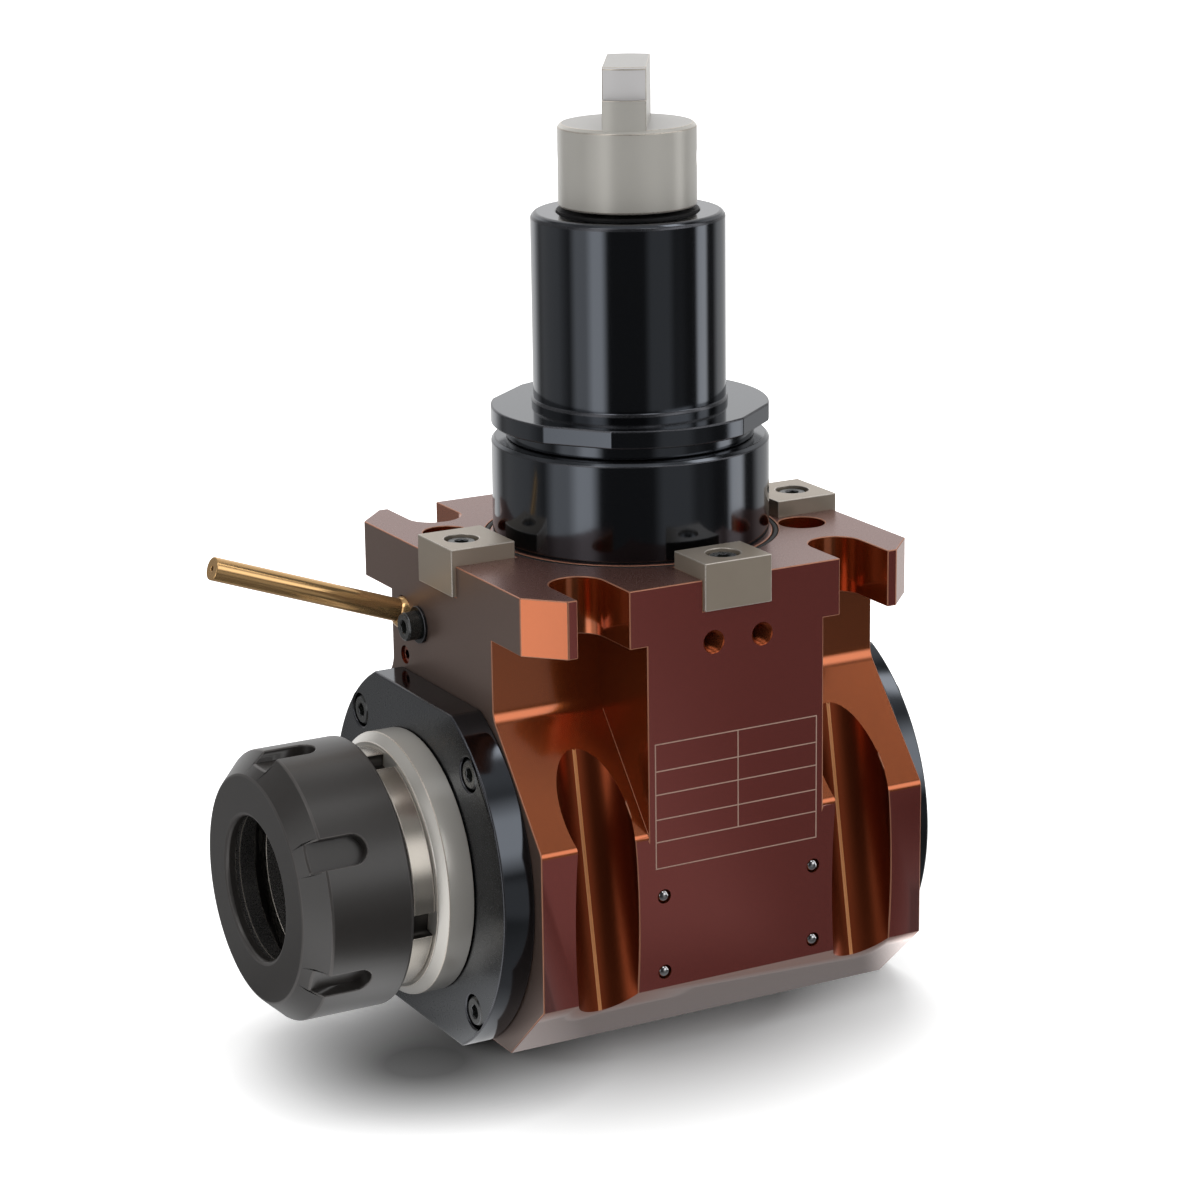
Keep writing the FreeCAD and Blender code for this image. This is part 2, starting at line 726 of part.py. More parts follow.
def spindle():
    taper_small = taper_mouth_radius - taper_depth * math.tan(math.radians(taper_angle))
    bore_end = nose_face - taper_depth - spindle_bore_depth
    point_depth = spindle_bore / math.tan(math.radians(drill_half_angle))
    seat = front_bore - slip
    body = turned([
        (0, -rear_stack_end - 0.5), (rear_bore - slip, -rear_stack_end - 0.5),
        (rear_bore - slip, -rear_stack_start), (tail_radius, -rear_stack_start),
        (tail_radius, gear_nut_place - gear_nut_width - 0.5),
        (gear_seat_radius - thread_relief, gear_nut_place - gear_nut_width - thread_relief),
        (gear_seat_radius - thread_relief, gear_front), (gear_seat_radius, gear_front),
        (gear_seat_radius, gear_back), (seat, gear_back), (seat, front_stack_end),
        (seal_land_radius, front_stack_end), (seal_land_radius, ring_back), (ring_seat_radius, ring_back),
        (ring_seat_radius, band_back), (band_radius - band_edge, band_back),
        (band_radius, band_back + band_edge), (band_radius, band_front - band_edge),
        (band_radius - band_edge, band_front), (nose_radius - nose_relief, band_front),
        (nose_radius - nose_relief, band_front + 2 * nose_relief),
        (nose_radius, band_front + 3 * nose_relief),
        (nose_radius, nose_face - nose_edge), (nose_radius - nose_edge, nose_face),
        (taper_mouth_radius, nose_face), (taper_small, nose_face - taper_depth),
        (spindle_bore, nose_face - taper_depth), (spindle_bore, bore_end), (0, bore_end - point_depth)])
    for i in range(4):
        notch = block(band_radius - notch_depth, band_radius + 1, -notch_width / 2, notch_width / 2,
                      band_back - 0.1, band_front + 0.1)
        body = body.cut(turned_copy(notch, notch_turn + 90 * i))
    return on_output(body.cut(gear_key_block(slip)))


def gear_locknut():
    bore = gear_seat_radius - thread_relief + slip
    nut = tube(gear_nut_radius, bore, gear_nut_place - gear_nut_width, gear_nut_place)
    for i in range(4):
        notch = block(gear_nut_radius - gear_nut_notch, gear_nut_radius + 1, -gear_nut_notch_width / 2,
                      gear_nut_notch_width / 2, 0, gear_nut_place + 1)
        nut = nut.cut(turned_copy(notch, 90 * i + 45))
    return on_output(nut)


def labyrinth_ring():
    return on_output(turned([
        (ring_seat_radius + slip, ring_back), (labyrinth_radius, ring_back),
        (labyrinth_radius, band_back - labyrinth_chamfer),
        (labyrinth_radius - labyrinth_chamfer, band_back - labyrinth_edge),
        (labyrinth_radius - labyrinth_chamfer, band_back), (ring_seat_radius + slip, band_back)]))


def cover_disc(bottom, top, deburr):
    """Round cover with a flat above and a flat level with the underside."""
    disc = turned([(0, bottom), (cover_radius, bottom), (cover_radius, top - deburr),
                   (cover_radius - deburr, top), (0, top)])
    kept = block(axis_drop - housing_drop, cover_flat_rise, -cover_radius - 1, cover_radius + 1,
                 bottom - 1, top + 1)
    return disc.common(kept)


def screw_holes(size, bottom, top):
    """Clearance holes and counterbores for the four cover screws, heads up."""
    shank, head, height, across = size
    offset = cover_screw_radius * half
    holes = []
    for x in (-offset, offset):
        for y in (-offset, offset):
            holes.append(rod(shank + counterbore_gap / 2, bottom - 1, top + 1, x, y))
            holes.append(rod(head + counterbore_gap, top - height - head_sink, top + 1, x, y))
    return holes


def front_flange():
    disc = cover_disc(housing_half_x, flange_face, flange_deburr)
    pilot = rod(front_outer - slip, front_stack_end, housing_half_x + 1)
    bores = [rod(seal_land_radius + flange_bore_gap, front_stack_end - 1, flange_face + 1),
             rod(seal_land_radius + seal_wall, front_stack_end - 1, flange_face - flange_lip)]
    return on_output(disc.fuse(pilot).cut(bores + screw_holes(screw_m4, housing_half_x, flange_face)))


def front_seal():
    return on_output(tube(seal_land_radius + seal_wall - slip, seal_land_radius + slip,
                          front_stack_end + 2 * face_gap, flange_face - flange_lip - seal_play))


def rear_cover():
    disc = cover_disc(housing_half_x, housing_half_x + rear_thick, flange_deburr)
    boss = tube(rear_outer - slip, rear_lip_radius, rear_stack_end, housing_half_x + 0.5)
    groove = tube(rear_outer + 1, rear_outer - rear_ring_section * 0.7,
                  housing_half_x - rear_groove_inset - rear_ring_section, housing_half_x - rear_groove_inset)
    cover = disc.fuse(boss.cut(groove))
    cover = cover.cut(screw_holes(screw_m4_low, housing_half_x, housing_half_x + rear_thick))
    return on_output(turned_copy(cover, 180, V(1, 0, 0)))


def rear_seal():
    start = housing_half_x - rear_groove_inset - rear_ring_section
    ring = tube(rear_outer - slip, rear_outer - rear_ring_section * 0.7 + slip,
                start + face_gap / 2, start + rear_ring_section - face_gap / 2)
    return on_output(turned_copy(ring, 180, V(1, 0, 0)))


def cover_screws(size, face, length, flipped):
    screws = []
    offset = cover_screw_radius * half
    for x in (-offset, offset):
        for y in (-offset, offset):
            screw = cap_screw(size, length)
            screw.translate(V(x, y, face - size[2] - head_sink))
            if flipped:
                screw.rotate(V(0, 0, 0), V(1, 0, 0), 180)
            screws.append(on_output(screw))
    return screws


def collet_nut():
    pocket = nut_face - nut_lip - nut_ring_width - nut_pocket_gap
    edge = nut_mouth_edge
    body = turned([
        (nose_radius + thread_gap, nut_back), (nut_radius - nut_back_edge, nut_back),
        (nut_radius, nut_back + nut_back_edge),
        (nut_radius, nut_face - nut_taper_length), (nut_face_radius, nut_face),
        (nut_mouth_radius + edge, nut_face), (nut_mouth_radius, nut_face - edge),
        (nut_mouth_radius, nut_face - nut_lip), (nut_ring_radius + thread_gap, nut_face - nut_lip),
        (nut_ring_radius + thread_gap, pocket), (nose_radius + thread_gap, pocket - 1)])
    slot_floor = nut_radius - nut_slot_depth
    end = nut_face - nut_slot_length + nut_slot_width / 2
    for i in range(nut_slots):
        slot = block(slot_floor, nut_radius + 1, -nut_slot_width / 2, nut_slot_width / 2, end, nut_face + 1)
        cutter = Part.makeCylinder(nut_slot_width / 2, nut_slot_depth + 1, V(slot_floor, 0, end), V(1, 0, 0))
        body = body.cut(turned_copy(slot.fuse(cutter), 360.0 / nut_slots * i))
    return on_output(body)


def nut_inner_ring():
    top = nut_face - nut_lip - nut_ring_play
    return on_output(turned([
        (nut_ring_back, top - nut_ring_width), (nut_ring_radius, top - nut_ring_width),
        (nut_ring_radius, top),
        (nut_ring_mouth, top), (nut_ring_mouth, top - nut_ring_edge)]))


def nozzle_centre():
    return nozzle_mouth() + V(nozzle_ball_inset, 0, 0)


def nozzle_aimed(shape):
    """Points a shape built along +Z out of the nozzle's ball."""
    aimed = turned_copy(shape, -90 + nozzle_rise, V(0, 1, 0))
    aimed.translate(nozzle_centre())
    return aimed


def nozzle_ball():
    ball = Part.makeSphere(nozzle_ball_radius)
    ball = ball.cut(rod(nozzle_radius + slip, nozzle_socket, nozzle_ball_radius + 1))
    ball = ball.cut(rod(nozzle_bore, -nozzle_ball_radius - 1, 2))
    return nozzle_aimed(ball)


def nozzle_tube():
    inner_end = nozzle_length - nozzle_wall
    return nozzle_aimed(turned([
        (nozzle_bore, nozzle_socket + seal_play), (nozzle_radius, nozzle_socket + seal_play),
        (nozzle_radius, nozzle_length - nozzle_edge), (nozzle_radius - nozzle_edge, nozzle_length),
        (nozzle_outlet, nozzle_length), (nozzle_outlet, inner_end), (nozzle_bore, inner_end)]))


def clamp_washer():
    disc = Part.makeCylinder(washer_radius, washer_thick, clamp_mouth(), V(-1, 0, 0))
    start = clamp_mouth() + V(washer_thick, 0, 0)
    return disc.cut(Part.makeCylinder(screw_clamp[0] + washer_gap, 3 * washer_thick, start, V(-1, 0, 0)))


def clamp_screw():
    screw = turned_copy(cap_screw(screw_clamp, clamp_screw_length + washer_thick), -90, V(0, 1, 0))
    screw.translate(clamp_mouth() + V(-washer_thick, 0, 0))
    return screw


def gallery_plug():
    plug = rod(plug_screw_radius, -plug_screw_length, 0).cut(hexagon(plug_socket, -plug_socket_depth, 1))
    plug = turned_copy(plug, -90, V(0, 1, 0))
    plug.translate(plug_mouth() + V(plug_screw_sink, 0, 0))
    return plug


def write(node, solids):
    shape = solids[0] if len(solids) == 1 else Part.makeCompound(solids)
    shape.exportStep("parts/" + node + ".step")


def main():
    os.makedirs("parts", exist_ok=True)
    write("housing", [bored_housing()])
    names = ("key_right", "key_back", "key_left", "key_front")
    for name, (angle, reach, shift) in zip(names, key_places()):
        write(name, [locating_key(angle, reach, shift)])
    write("key_screws", [key_screw(angle, reach, shift) for angle, reach, shift in key_places()])
    write("spigot", [spigot()])
    write("upper_sleeve", [upper_sleeve()])
    write("face_ring", [face_ring()])
    write("circlip", [circlip()])
    write("upper_seal", [upper_seal()])
    write("input_shaft", [input_shaft()])
    write("input_locknut", [input_locknut()])
    write("drive_coupling", [drive_coupling()])
    write("coupling_pin", [pin_body(0)])

    stacks = (("lower_bearing", lower_bearing, gear_back, 2, on_input),
              ("upper_bearing", upper_bearing, upper_seat + axis_drop, 1, on_input),
              ("front_bearing", front_bearing, gear_back, 2, on_output),
              ("rear_bearing", rear_bearing, -rear_stack_end, 1, on_output))
    for name, size, start, copies, place in stacks:
        inners, outers, balls = bearing_stack(size, start, copies, place)
        write(name + "_inner_ring", inners)
        write(name + "_outer_ring", outers)
        write(name + "_balls", balls)

    write("spindle", [spindle()])
    write("output_gear", [output_gear()])
    write("gear_key", [on_output(gear_key_block(0))])
    write("gear_locknut", [gear_locknut()])
    write("labyrinth_ring", [labyrinth_ring()])
    write("front_flange", [front_flange()])
    write("front_seal", [front_seal()])
    write("flange_screws", cover_screws(screw_m4, flange_face, cover_screw_length, False))
    write("rear_cover", [rear_cover()])
    write("rear_seal", [rear_seal()])
    write("rear_screws", cover_screws(screw_m4_low, housing_half_x + rear_thick, rear_screw_length, True))
    write("collet_nut", [collet_nut()])
    write("nut_inner_ring", [nut_inner_ring()])
    write("nozzle_ball", [nozzle_ball()])
    write("nozzle_tube", [nozzle_tube()])
    write("clamp_washer", [clamp_washer()])
    write("clamp_screw", [clamp_screw()])
    write("gallery_plug", [gallery_plug()])
    write("sealing_balls", [Part.makeSphere(plug_ball_radius, centre) for centre in plug_places()])


main()
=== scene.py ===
import math
import bmesh
import bpy
from mathutils import Matrix, Vector


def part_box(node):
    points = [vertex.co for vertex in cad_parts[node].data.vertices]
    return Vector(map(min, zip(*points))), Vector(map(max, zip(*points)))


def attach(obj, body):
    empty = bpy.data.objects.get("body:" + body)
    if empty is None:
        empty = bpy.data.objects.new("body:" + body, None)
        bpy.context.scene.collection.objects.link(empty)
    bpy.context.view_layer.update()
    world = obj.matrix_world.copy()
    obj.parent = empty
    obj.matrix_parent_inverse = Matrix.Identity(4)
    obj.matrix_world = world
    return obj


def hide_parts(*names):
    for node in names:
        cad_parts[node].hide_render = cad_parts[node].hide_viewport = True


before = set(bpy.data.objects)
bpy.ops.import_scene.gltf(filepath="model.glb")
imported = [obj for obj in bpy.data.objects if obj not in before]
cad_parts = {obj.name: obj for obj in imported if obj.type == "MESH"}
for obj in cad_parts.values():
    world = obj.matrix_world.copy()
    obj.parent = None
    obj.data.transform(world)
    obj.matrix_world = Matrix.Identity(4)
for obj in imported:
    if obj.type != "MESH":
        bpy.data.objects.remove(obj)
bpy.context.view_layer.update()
scene = bpy.context.scene
print("frame loaded with", len(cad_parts), "nodes")

# Lengths in the dictionaries below are millimetres, the frame's are metres.
mm = 0.001


def span(node, axis):
    low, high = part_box(node)
    return low[axis] / mm, high[axis] / mm


axisHeight = sum(span("labyrinth_ring", 2)) / 2      # the collet's axis lies under the turret face
onOutput = Matrix(((0, 0, -1, 0), (0, 1, 0, 0), (1, 0, 0, axisHeight), (0, 0, 0, 1)))
extrudedAlongX = Matrix(((0, 0, 1, 0), (1, 0, 0, 0), (0, 1, 0, 0), (0, 0, 0, 1)))


# Materials

def hexToLinear(code):
    channels = [int(code[i:i + 2], 16) / 255 for i in (1, 3, 5)]
    return tuple(c / 12.92 if c <= 0.04045 else ((c + 0.055) / 1.055) ** 2.4 for c in channels) + (1.0,)


def addNode(tree, kind, settings):
    # a setting names a property or an input, by its number where several inputs share a name,
    # and an input takes a value or the socket that feeds it
    node = tree.nodes.new(kind)
    for name, value in settings.items():
        if not isinstance(name, int) and name not in node.inputs:
            setattr(node, name, value)
        elif isinstance(value, bpy.types.NodeSocket):
            tree.links.new(value, node.inputs[name])
        else:
            node.inputs[name].default_value = value
    return node


def newMaterial(name, look):
    # a principled surface with its cloudy colour, its roughness patches and its surface bump
    material = bpy.data.materials.new(name)
    material.use_nodes = True
    tree = material.node_tree
    tree.nodes.clear()
    place = addNode(tree, "ShaderNodeTexCoord", {}).outputs["Object"]
    moved = addNode(tree, "ShaderNodeMapping", {"Vector": place, "Scale": look.get("stretch", (1, 1, 1))})
    clouds = addNode(tree, "ShaderNodeTexNoise", {"Vector": place, "Scale": 1 / (look["cloudSize"] * mm),
                                                  "Detail": 3.0}).outputs["Fac"]
    colour = addNode(tree, "ShaderNodeMix", {"data_type": "RGBA", 0: clouds, 6: hexToLinear(look["colour"]),
                                             7: hexToLinear(look["colourFar"])}).outputs[2]
    grain = addNode(tree, "ShaderNodeTexNoise", {"Vector": moved.outputs[0], "Scale": 1 / (look["grain"] * mm),
                                                 "Detail": 2.0}).outputs["Fac"]
    smooth, rough = look["roughness"]      # most of the noise lies between 0.3 and 0.7
    roughness = addNode(tree, "ShaderNodeMapRange", {"Value": grain, "From Min": 0.3, "From Max": 0.7,
                                                     "To Min": smooth, "To Max": rough}).outputs[0]
    bump = addNode(tree, "ShaderNodeBump", {"Height": grain, "Strength": 1.0,
                                            "Distance": look["bump"] * mm}).outputs["Normal"]
    settings = {"Base Color": colour, "Roughness": roughness, "Normal": bump, "Metallic": look["metallic"],
                "IOR": look.get("ior", 1.5), "Specular Tint": hexToLinear(look.get("tint", "#ffffff")),
                "Anisotropic": look.get("anisotropic", 0.0), "Anisotropic Rotation": 0.25,
                "Coat Weight": look.get("coat", 0.0), "Coat Roughness": look.get("coatRoughness", 0.1)}
    if "anisotropic" in look:
        radial = {"direction_type": "RADIAL", "axis": look["turnedAbout"]}
        settings["Tangent"] = addNode(tree, "ShaderNodeTangent", radial).outputs[0]
    surface = addNode(tree, "ShaderNodeBsdfPrincipled", settings)
    addNode(tree, "ShaderNodeOutputMaterial", {"Surface": surface.outputs["BSDF"]})
    return material
# cloudSize, grain and bump are millimetres, roughness runs between two values
looks = {
    # clear brown dye over milled aluminium: a coloured metal under a thin glossy skin
    "anodised_aluminium": {"colour": "#b9602f", "colourFar": "#b35b2b", "cloudSize": 30, "grain": 0.6,
                           "roughness": (0.17, 0.2), "bump": 0.0001, "metallic": 0.9, "coat": 1.0,
                           "coatRoughness": 0.1},
    # the same dye on the flat front and back, painted darker and more purple: painted shade for how these
    # faces look in this light
    "panel_face_shade": {"colour": "#a85048", "colourFar": "#a14a42", "cloudSize": 40, "grain": 0.6,
                   "roughness": (0.2, 0.24), "bump": 0.0001, "metallic": 0.85, "coat": 1.0,
                   "coatRoughness": 0.1},
    # the same skin on the broken edges, lighter and pinker: partly dye worn thin there, partly a painted
    # highlight where the edges catch the light
    "anodised_edge_and_highlight": {"colour": "#c48a70", "colourFar": "#b5785c", "cloudSize": 8, "grain": 0.3,
                      "roughness": (0.3, 0.38), "bump": 0.0003, "metallic": 0.4},
    # the wrench grooves: a rougher, darker copy of the dye, the darkness painted shade in the hollow; and a
    # pale line down each, a painted highlight where a strip light shows in the groove
    "groove_wall_shaded": {"colour": "#8a3f22", "colourFar": "#7f391d", "cloudSize": 12, "grain": 0.5,
                    "roughness": (0.3, 0.36), "bump": 0.0003, "metallic": 0.9},
    "groove_highlight_paint": {"colour": "#f3a468", "colourFar": "#e8965a", "cloudSize": 9, "grain": 0.3,
                    "roughness": (0.35, 0.4), "bump": 0.0001, "metallic": 0.0},
    # the face that seats on the turret, a greyer copy of the dye: a painted reflection of the pale light above
    "seating_face_sheen": {"colour": "#815e57", "colourFar": "#7b5851", "cloudSize": 25, "grain": 0.5,
                     "roughness": (0.26, 0.32), "bump": 0.0003, "metallic": 0.6},
    # the ends of the housing, faced with a coarse cutter, and greyer as a painted reflection of how the ends
    # catch the light
    "end_face_sheen": {"colour": "#7d6960", "colourFar": "#77635a", "cloudSize": 30, "grain": 0.5,
                 "roughness": (0.3, 0.36), "bump": 0.0004, "metallic": 0.5},
    # dyed thread and bores, seen only inside their mouths
    "tapped_hole": {"colour": "#a8522c", "colourFar": "#8f4426", "cloudSize": 3, "grain": 0.3,
                    "roughness": (0.25, 0.32), "bump": 0.0003, "metallic": 0.85},
    # laser marking, a pale matt oxide line
    "laser_mark": {"colour": "#c9a999", "colourFar": "#b99888", "cloudSize": 6, "grain": 0.1,
                   "roughness": (0.55, 0.7), "bump": 0.002, "metallic": 0.0},
    # black oxide on ground steel, oiled: deep black with clear reflections
    "black_oxide": {"colour": "#060607", "colourFar": "#040405", "cloudSize": 25, "grain": 0.3,
                    "roughness": (0.10, 0.13), "bump": 0.0, "metallic": 0.0, "ior": 2.0,
                    "tint": "#dfe8f6"},
    "black_oxide_edge": {"colour": "#5b5c60", "colourFar": "#3c3d42", "cloudSize": 6, "grain": 0.2,
                         "roughness": (0.2, 0.3), "bump": 0.0002, "metallic": 0.8},
    # black oxide on a milled cover, a little duller than the shank, with the facing cut's streaked gloss
    "black_cover": {"colour": "#070708", "colourFar": "#050506", "cloudSize": 20, "grain": 0.4,
                    "roughness": (0.24, 0.28), "bump": 0.0, "metallic": 0.0, "ior": 1.9,
                    "tint": "#e4ebf4", "turnedAbout": "X", "anisotropic": 0.8},
    # surface-ground steel keys, satin and slightly warm, the grinding lines along the key
    "ground_steel": {"colour": "#ab9f90", "colourFar": "#a19586", "cloudSize": 9, "grain": 0.4,
                     "roughness": (0.32, 0.38), "bump": 0.0003, "metallic": 0.3, "stretch": (1, 1, 6)},
    "bright_steel_edge": {"colour": "#d8d0c6", "colourFar": "#c6beb4", "cloudSize": 6, "grain": 0.2,
                          "roughness": (0.25, 0.35), "bump": 0.0003, "metallic": 0.5},
    # turned and ground drive collar, silver grey, its fine rings seen as streaked gloss
    "collar_steel": {"colour": "#d6d3cc", "colourFar": "#cfccc4", "cloudSize": 12, "grain": 0.3,
                     "roughness": (0.34, 0.36), "bump": 0.0, "metallic": 0.12, "turnedAbout": "Z",
                     "anisotropic": 0.5},
    # the tops of the collar and the tang, a darker copy of the collar's steel: painted shade
    "collar_top_shaded": {"colour": "#b4b2af", "colourFar": "#aeaca9", "cloudSize": 12, "grain": 0.3,
                    "roughness": (0.34, 0.38), "bump": 0.0, "metallic": 0.3},
    # the sides of the tang's end, painted near white as a highlight
    "tang_side_highlight": {"colour": "#f2f0f0", "colourFar": "#eceaea", "cloudSize": 12, "grain": 0.3,
                   "roughness": (0.35, 0.4), "bump": 0.0, "metallic": 0.0},
    # bright turned steel rings at the collet
    "turned_steel": {"colour": "#b3ada4", "colourFar": "#aaa49b", "cloudSize": 14, "grain": 0.3,
                     "roughness": (0.2, 0.24), "bump": 0.0, "metallic": 0.92},
    # the collar in front of the cover, turned and left dull, its grain too fine to show
    "ring_steel": {"colour": "#e2ded7", "colourFar": "#dcd8d1", "cloudSize": 14, "grain": 0.04,
                   "roughness": (0.22, 0.24), "bump": 0.0, "metallic": 0.4},
    # the collet's taper, hardened and oiled
    "taper_steel": {"colour": "#8a8886", "colourFar": "#807e7c", "cloudSize": 12, "grain": 0.3,
                    "roughness": (0.25, 0.3), "bump": 0.0, "metallic": 0.75},
    # the hook-spanner notches, painted dark as the shade inside them
    "notch_floor_shaded": {"colour": "#3b3733", "colourFar": "#312e2b", "cloudSize": 3, "grain": 0.2,
                    "roughness": (0.35, 0.42), "bump": 0.0004, "metallic": 0.6},
    # manganese phosphate on the clamping nut: warm charcoal, dull
    "phosphate_nut": {"colour": "#33302e", "colourFar": "#2e2b29", "cloudSize": 2.0, "grain": 0.2,
                      "roughness": (0.33, 0.37), "bump": 0.0002, "metallic": 0.0, "ior": 1.62},
    "phosphate_edge": {"colour": "#5c5957", "colourFar": "#545150", "cloudSize": 3, "grain": 0.2,
                       "roughness": (0.32, 0.38), "bump": 0.0002, "metallic": 0.3},
    # black socket screws, oiled
    "screw_black": {"colour": "#2c2e2c", "colourFar": "#232523", "cloudSize": 2, "grain": 0.2,
                    "roughness": (0.25, 0.3), "bump": 0.0002, "metallic": 0.0, "ior": 1.7},
    "screw_edge": {"colour": "#808186", "colourFar": "#5c5d61", "cloudSize": 1, "grain": 0.2,
                   "roughness": (0.25, 0.35), "bump": 0.0003, "metallic": 0.8},
    # drawn brass of the nozzle
    "drawn_brass": {"colour": "#e8bd84", "colourFar": "#deb178", "cloudSize": 6, "grain": 0.4,
                    "roughness": (0.13, 0.17), "bump": 0.0, "metallic": 0.8},
    "copper_plug": {"colour": "#a06a5a", "colourFar": "#8f5748", "cloudSize": 2, "grain": 0.3,
                    "roughness": (0.15, 0.22), "bump": 0.0003, "metallic": 1.0},
    "ball_steel": {"colour": "#b9babc", "colourFar": "#a9aaac", "cloudSize": 2, "grain": 0.3,
                   "roughness": (0.06, 0.09), "bump": 0.0001, "metallic": 1.0},
    "seal_rubber": {"colour": "#131314", "colourFar": "#0e0e0f", "cloudSize": 2, "grain": 0.15,
                    "roughness": (0.5, 0.65), "bump": 0.003, "metallic": 0.0},
    # zinc-plated washer, darkened
    "washer_zinc": {"colour": "#3a3b3d", "colourFar": "#303133", "cloudSize": 2, "grain": 0.2,
                    "roughness": (0.3, 0.38), "bump": 0.0004, "metallic": 0.8},
    # hardened bearing and gear steel inside
    "bearing_steel": {"colour": "#b9babb", "colourFar": "#abacad", "cloudSize": 6, "grain": 0.3,
                      "roughness": (0.14, 0.2), "bump": 0.0003, "metallic": 1.0},
    "gear_steel": {"colour": "#8f8d8a", "colourFar": "#82807d", "cloudSize": 5, "grain": 0.3,
                   "roughness": (0.3, 0.38), "bump": 0.0005, "metallic": 1.0},
}
finishes = {name: newMaterial(name, look) for name, look in looks.items()}
print("materials ready:", len(finishes))


# Shapes, all in millimetres until fitPiece

def makeObject(name, points, faces, finish=0):
    mesh = bpy.data.meshes.new(name)
    mesh.from_pydata([tuple(p) for p in points], [], faces)
    work = bmesh.new()
    work.from_mesh(mesh)
    bmesh.ops.recalc_face_normals(work, faces=work.faces)
    for face in work.faces:
        face.smooth = True
        face.material_index = finish
    work.to_mesh(mesh)
    work.free()
    obj = bpy.data.objects.new(name, mesh)
    scene.collection.objects.link(obj)
    return obj


def lathe(name, outline, segments=180, finish=0):
    # a closed outline of (radius, height) turned about +Z
    points, rows, faces = [], [], []
    for radius, height in outline:
        if radius < 1e-6:
            rows.append([len(points)] * segments)
            points.append((0, 0, height))
        else:
            rows.append(list(range(len(points), len(points) + segments)))
            angles = [2 * math.pi * i / segments for i in range(segments)]
            points.extend((radius * math.cos(a), radius * math.sin(a), height) for a in angles)
    for lower, upper in zip(rows, rows[1:] + rows[:1]):
        for i in range(segments):
            j = (i + 1) % segments
            corners = list(dict.fromkeys((lower[i], lower[j], upper[j], upper[i])))
            if len(corners) > 2:
                faces.append(corners)
    return makeObject(name, points, faces, finish)


def rounded(outline):
    # a corner with a third value gets an arc of that radius
    result = []
    for i, corner in enumerate(outline):
        here = Vector(corner[:2])
        if len(corner) < 3:
            result.append(tuple(here))
            continue
        before = (Vector(outline[i - 1][:2]) - here).normalized()
        after = (Vector(outline[(i + 1) % len(outline)][:2]) - here).normalized()
        turn = math.pi - before.angle(after)
        trim = corner[2] * math.tan(turn / 2)
        start, end = here + before * trim, here + after * trim
        centre = here + (before + after).normalized() * corner[2] / math.cos(turn / 2)
        first = math.atan2(*(start - centre).yx)
        sweep = (math.atan2(*(end - centre).yx) - first + math.pi) % (2 * math.pi) - math.pi
        steps = max(3, math.ceil(math.degrees(abs(sweep)) / 4))
        for k in range(steps + 1):
            angle = first + sweep * k / steps
            result.append((centre.x + corner[2] * math.cos(angle), centre.y + corner[2] * math.sin(angle)))
    return result


def bridged(count):
    # two end faces and the walls between them, for two outlines of count points each
    faces = [list(range(count)), list(range(count, 2 * count))]
    return faces + [(i, (i + 1) % count, count + (i + 1) % count, count + i) for i in range(count)]


def prism(name, outline, low, high, place=None, finish=0):
    # an outline in the XY plane pulled up from low to high
    points = [(x, y, low) for x, y in outline] + [(x, y, high) for x, y in outline]
    obj = makeObject(name, points, bridged(len(outline)), finish)
    if place:
        obj.data.transform(place)
    return obj


def block(x0, x1, y0, y1, z0, z1, finish=0):
    return prism("block", [(x0, y0), (x1, y0), (x1, y1), (x0, y1)], z0, z1, None, finish)


def arc(radius, start, end, steps, centre=(0, 0)):
    turns = [math.radians(start + (end - start) * k / steps) for k in range(steps + 1)]
    return [(centre[0] + radius * math.cos(a), centre[1] + radius * math.sin(a)) for a in turns]


def rod(radius, low, high, x=0.0, y=0.0, segments=64, finish=0):
    return prism("rod", arc(radius, 0, 360 - 360 / segments, segments - 1, (x, y)), low, high, None, finish)


def aimed(obj, start, direction):
    # turns +Z to the direction and moves the origin to start
    turn = Vector(direction).to_track_quat("Z", "Y").to_matrix().to_4x4()
    obj.data.transform(Matrix.Translation(start) @ turn)
    return obj


def spun(obj, degrees):
    obj.data.transform(Matrix.Rotation(math.radians(degrees), 4, "Z"))
    return obj


def applied(obj):
    view = bpy.context.evaluated_depsgraph_get()
    mesh = bpy.data.meshes.new_from_object(obj.evaluated_get(view))
    obj.modifiers.clear()
    obj.data = mesh
    return obj


def carve(target, tools, operation="DIFFERENCE"):
    group = bpy.data.collections.new("tools")
    scene.collection.children.link(group)
    for tool in tools:
        group.objects.link(tool)
    cut = target.modifiers.new("carve", "BOOLEAN")
    cut.operation = operation
    cut.operand_type = "COLLECTION"
    cut.collection = group
    cut.solver = "EXACT"
    applied(target)
    for tool in tools:
        bpy.data.objects.remove(tool)
    bpy.data.collections.remove(group)
    return target


def convexEdge(edge):
    return 1.0 if edge.calc_face_angle_signed() > 0 else 0.0


def breakEdges(obj, size, steps=2, fromAngle=30, share=convexEdge):
    # sharp edges get their share of a narrow bevel in the second finish, by default the convex ones all of it
    work = bmesh.new()
    work.from_mesh(obj.data)
    bmesh.ops.dissolve_limit(work, angle_limit=math.radians(0.2), verts=work.verts, edges=work.edges)
    weight = work.edges.layers.float.new("bevel_weight_edge")
    for edge in work.edges:
        if len(edge.link_faces) == 2:
            sharp = math.degrees(edge.calc_face_angle()) > fromAngle
            edge[weight] = share(edge) if sharp else 0.0
            edge.smooth = edge[weight] > 0 or not sharp
    work.to_mesh(obj.data)
    work.free()
    bevel = obj.modifiers.new("edges", "BEVEL")
    bevel.limit_method = "WEIGHT"
    bevel.width = size
    bevel.segments = steps
    bevel.use_clamp_overlap = False
    bevel.material = 1
    shade = obj.modifiers.new("shade", "WEIGHTED_NORMAL")
    shade.keep_sharp = True
    shade.weight = 60      # broad faces stay flat beside the narrow bevels
    return applied(obj)


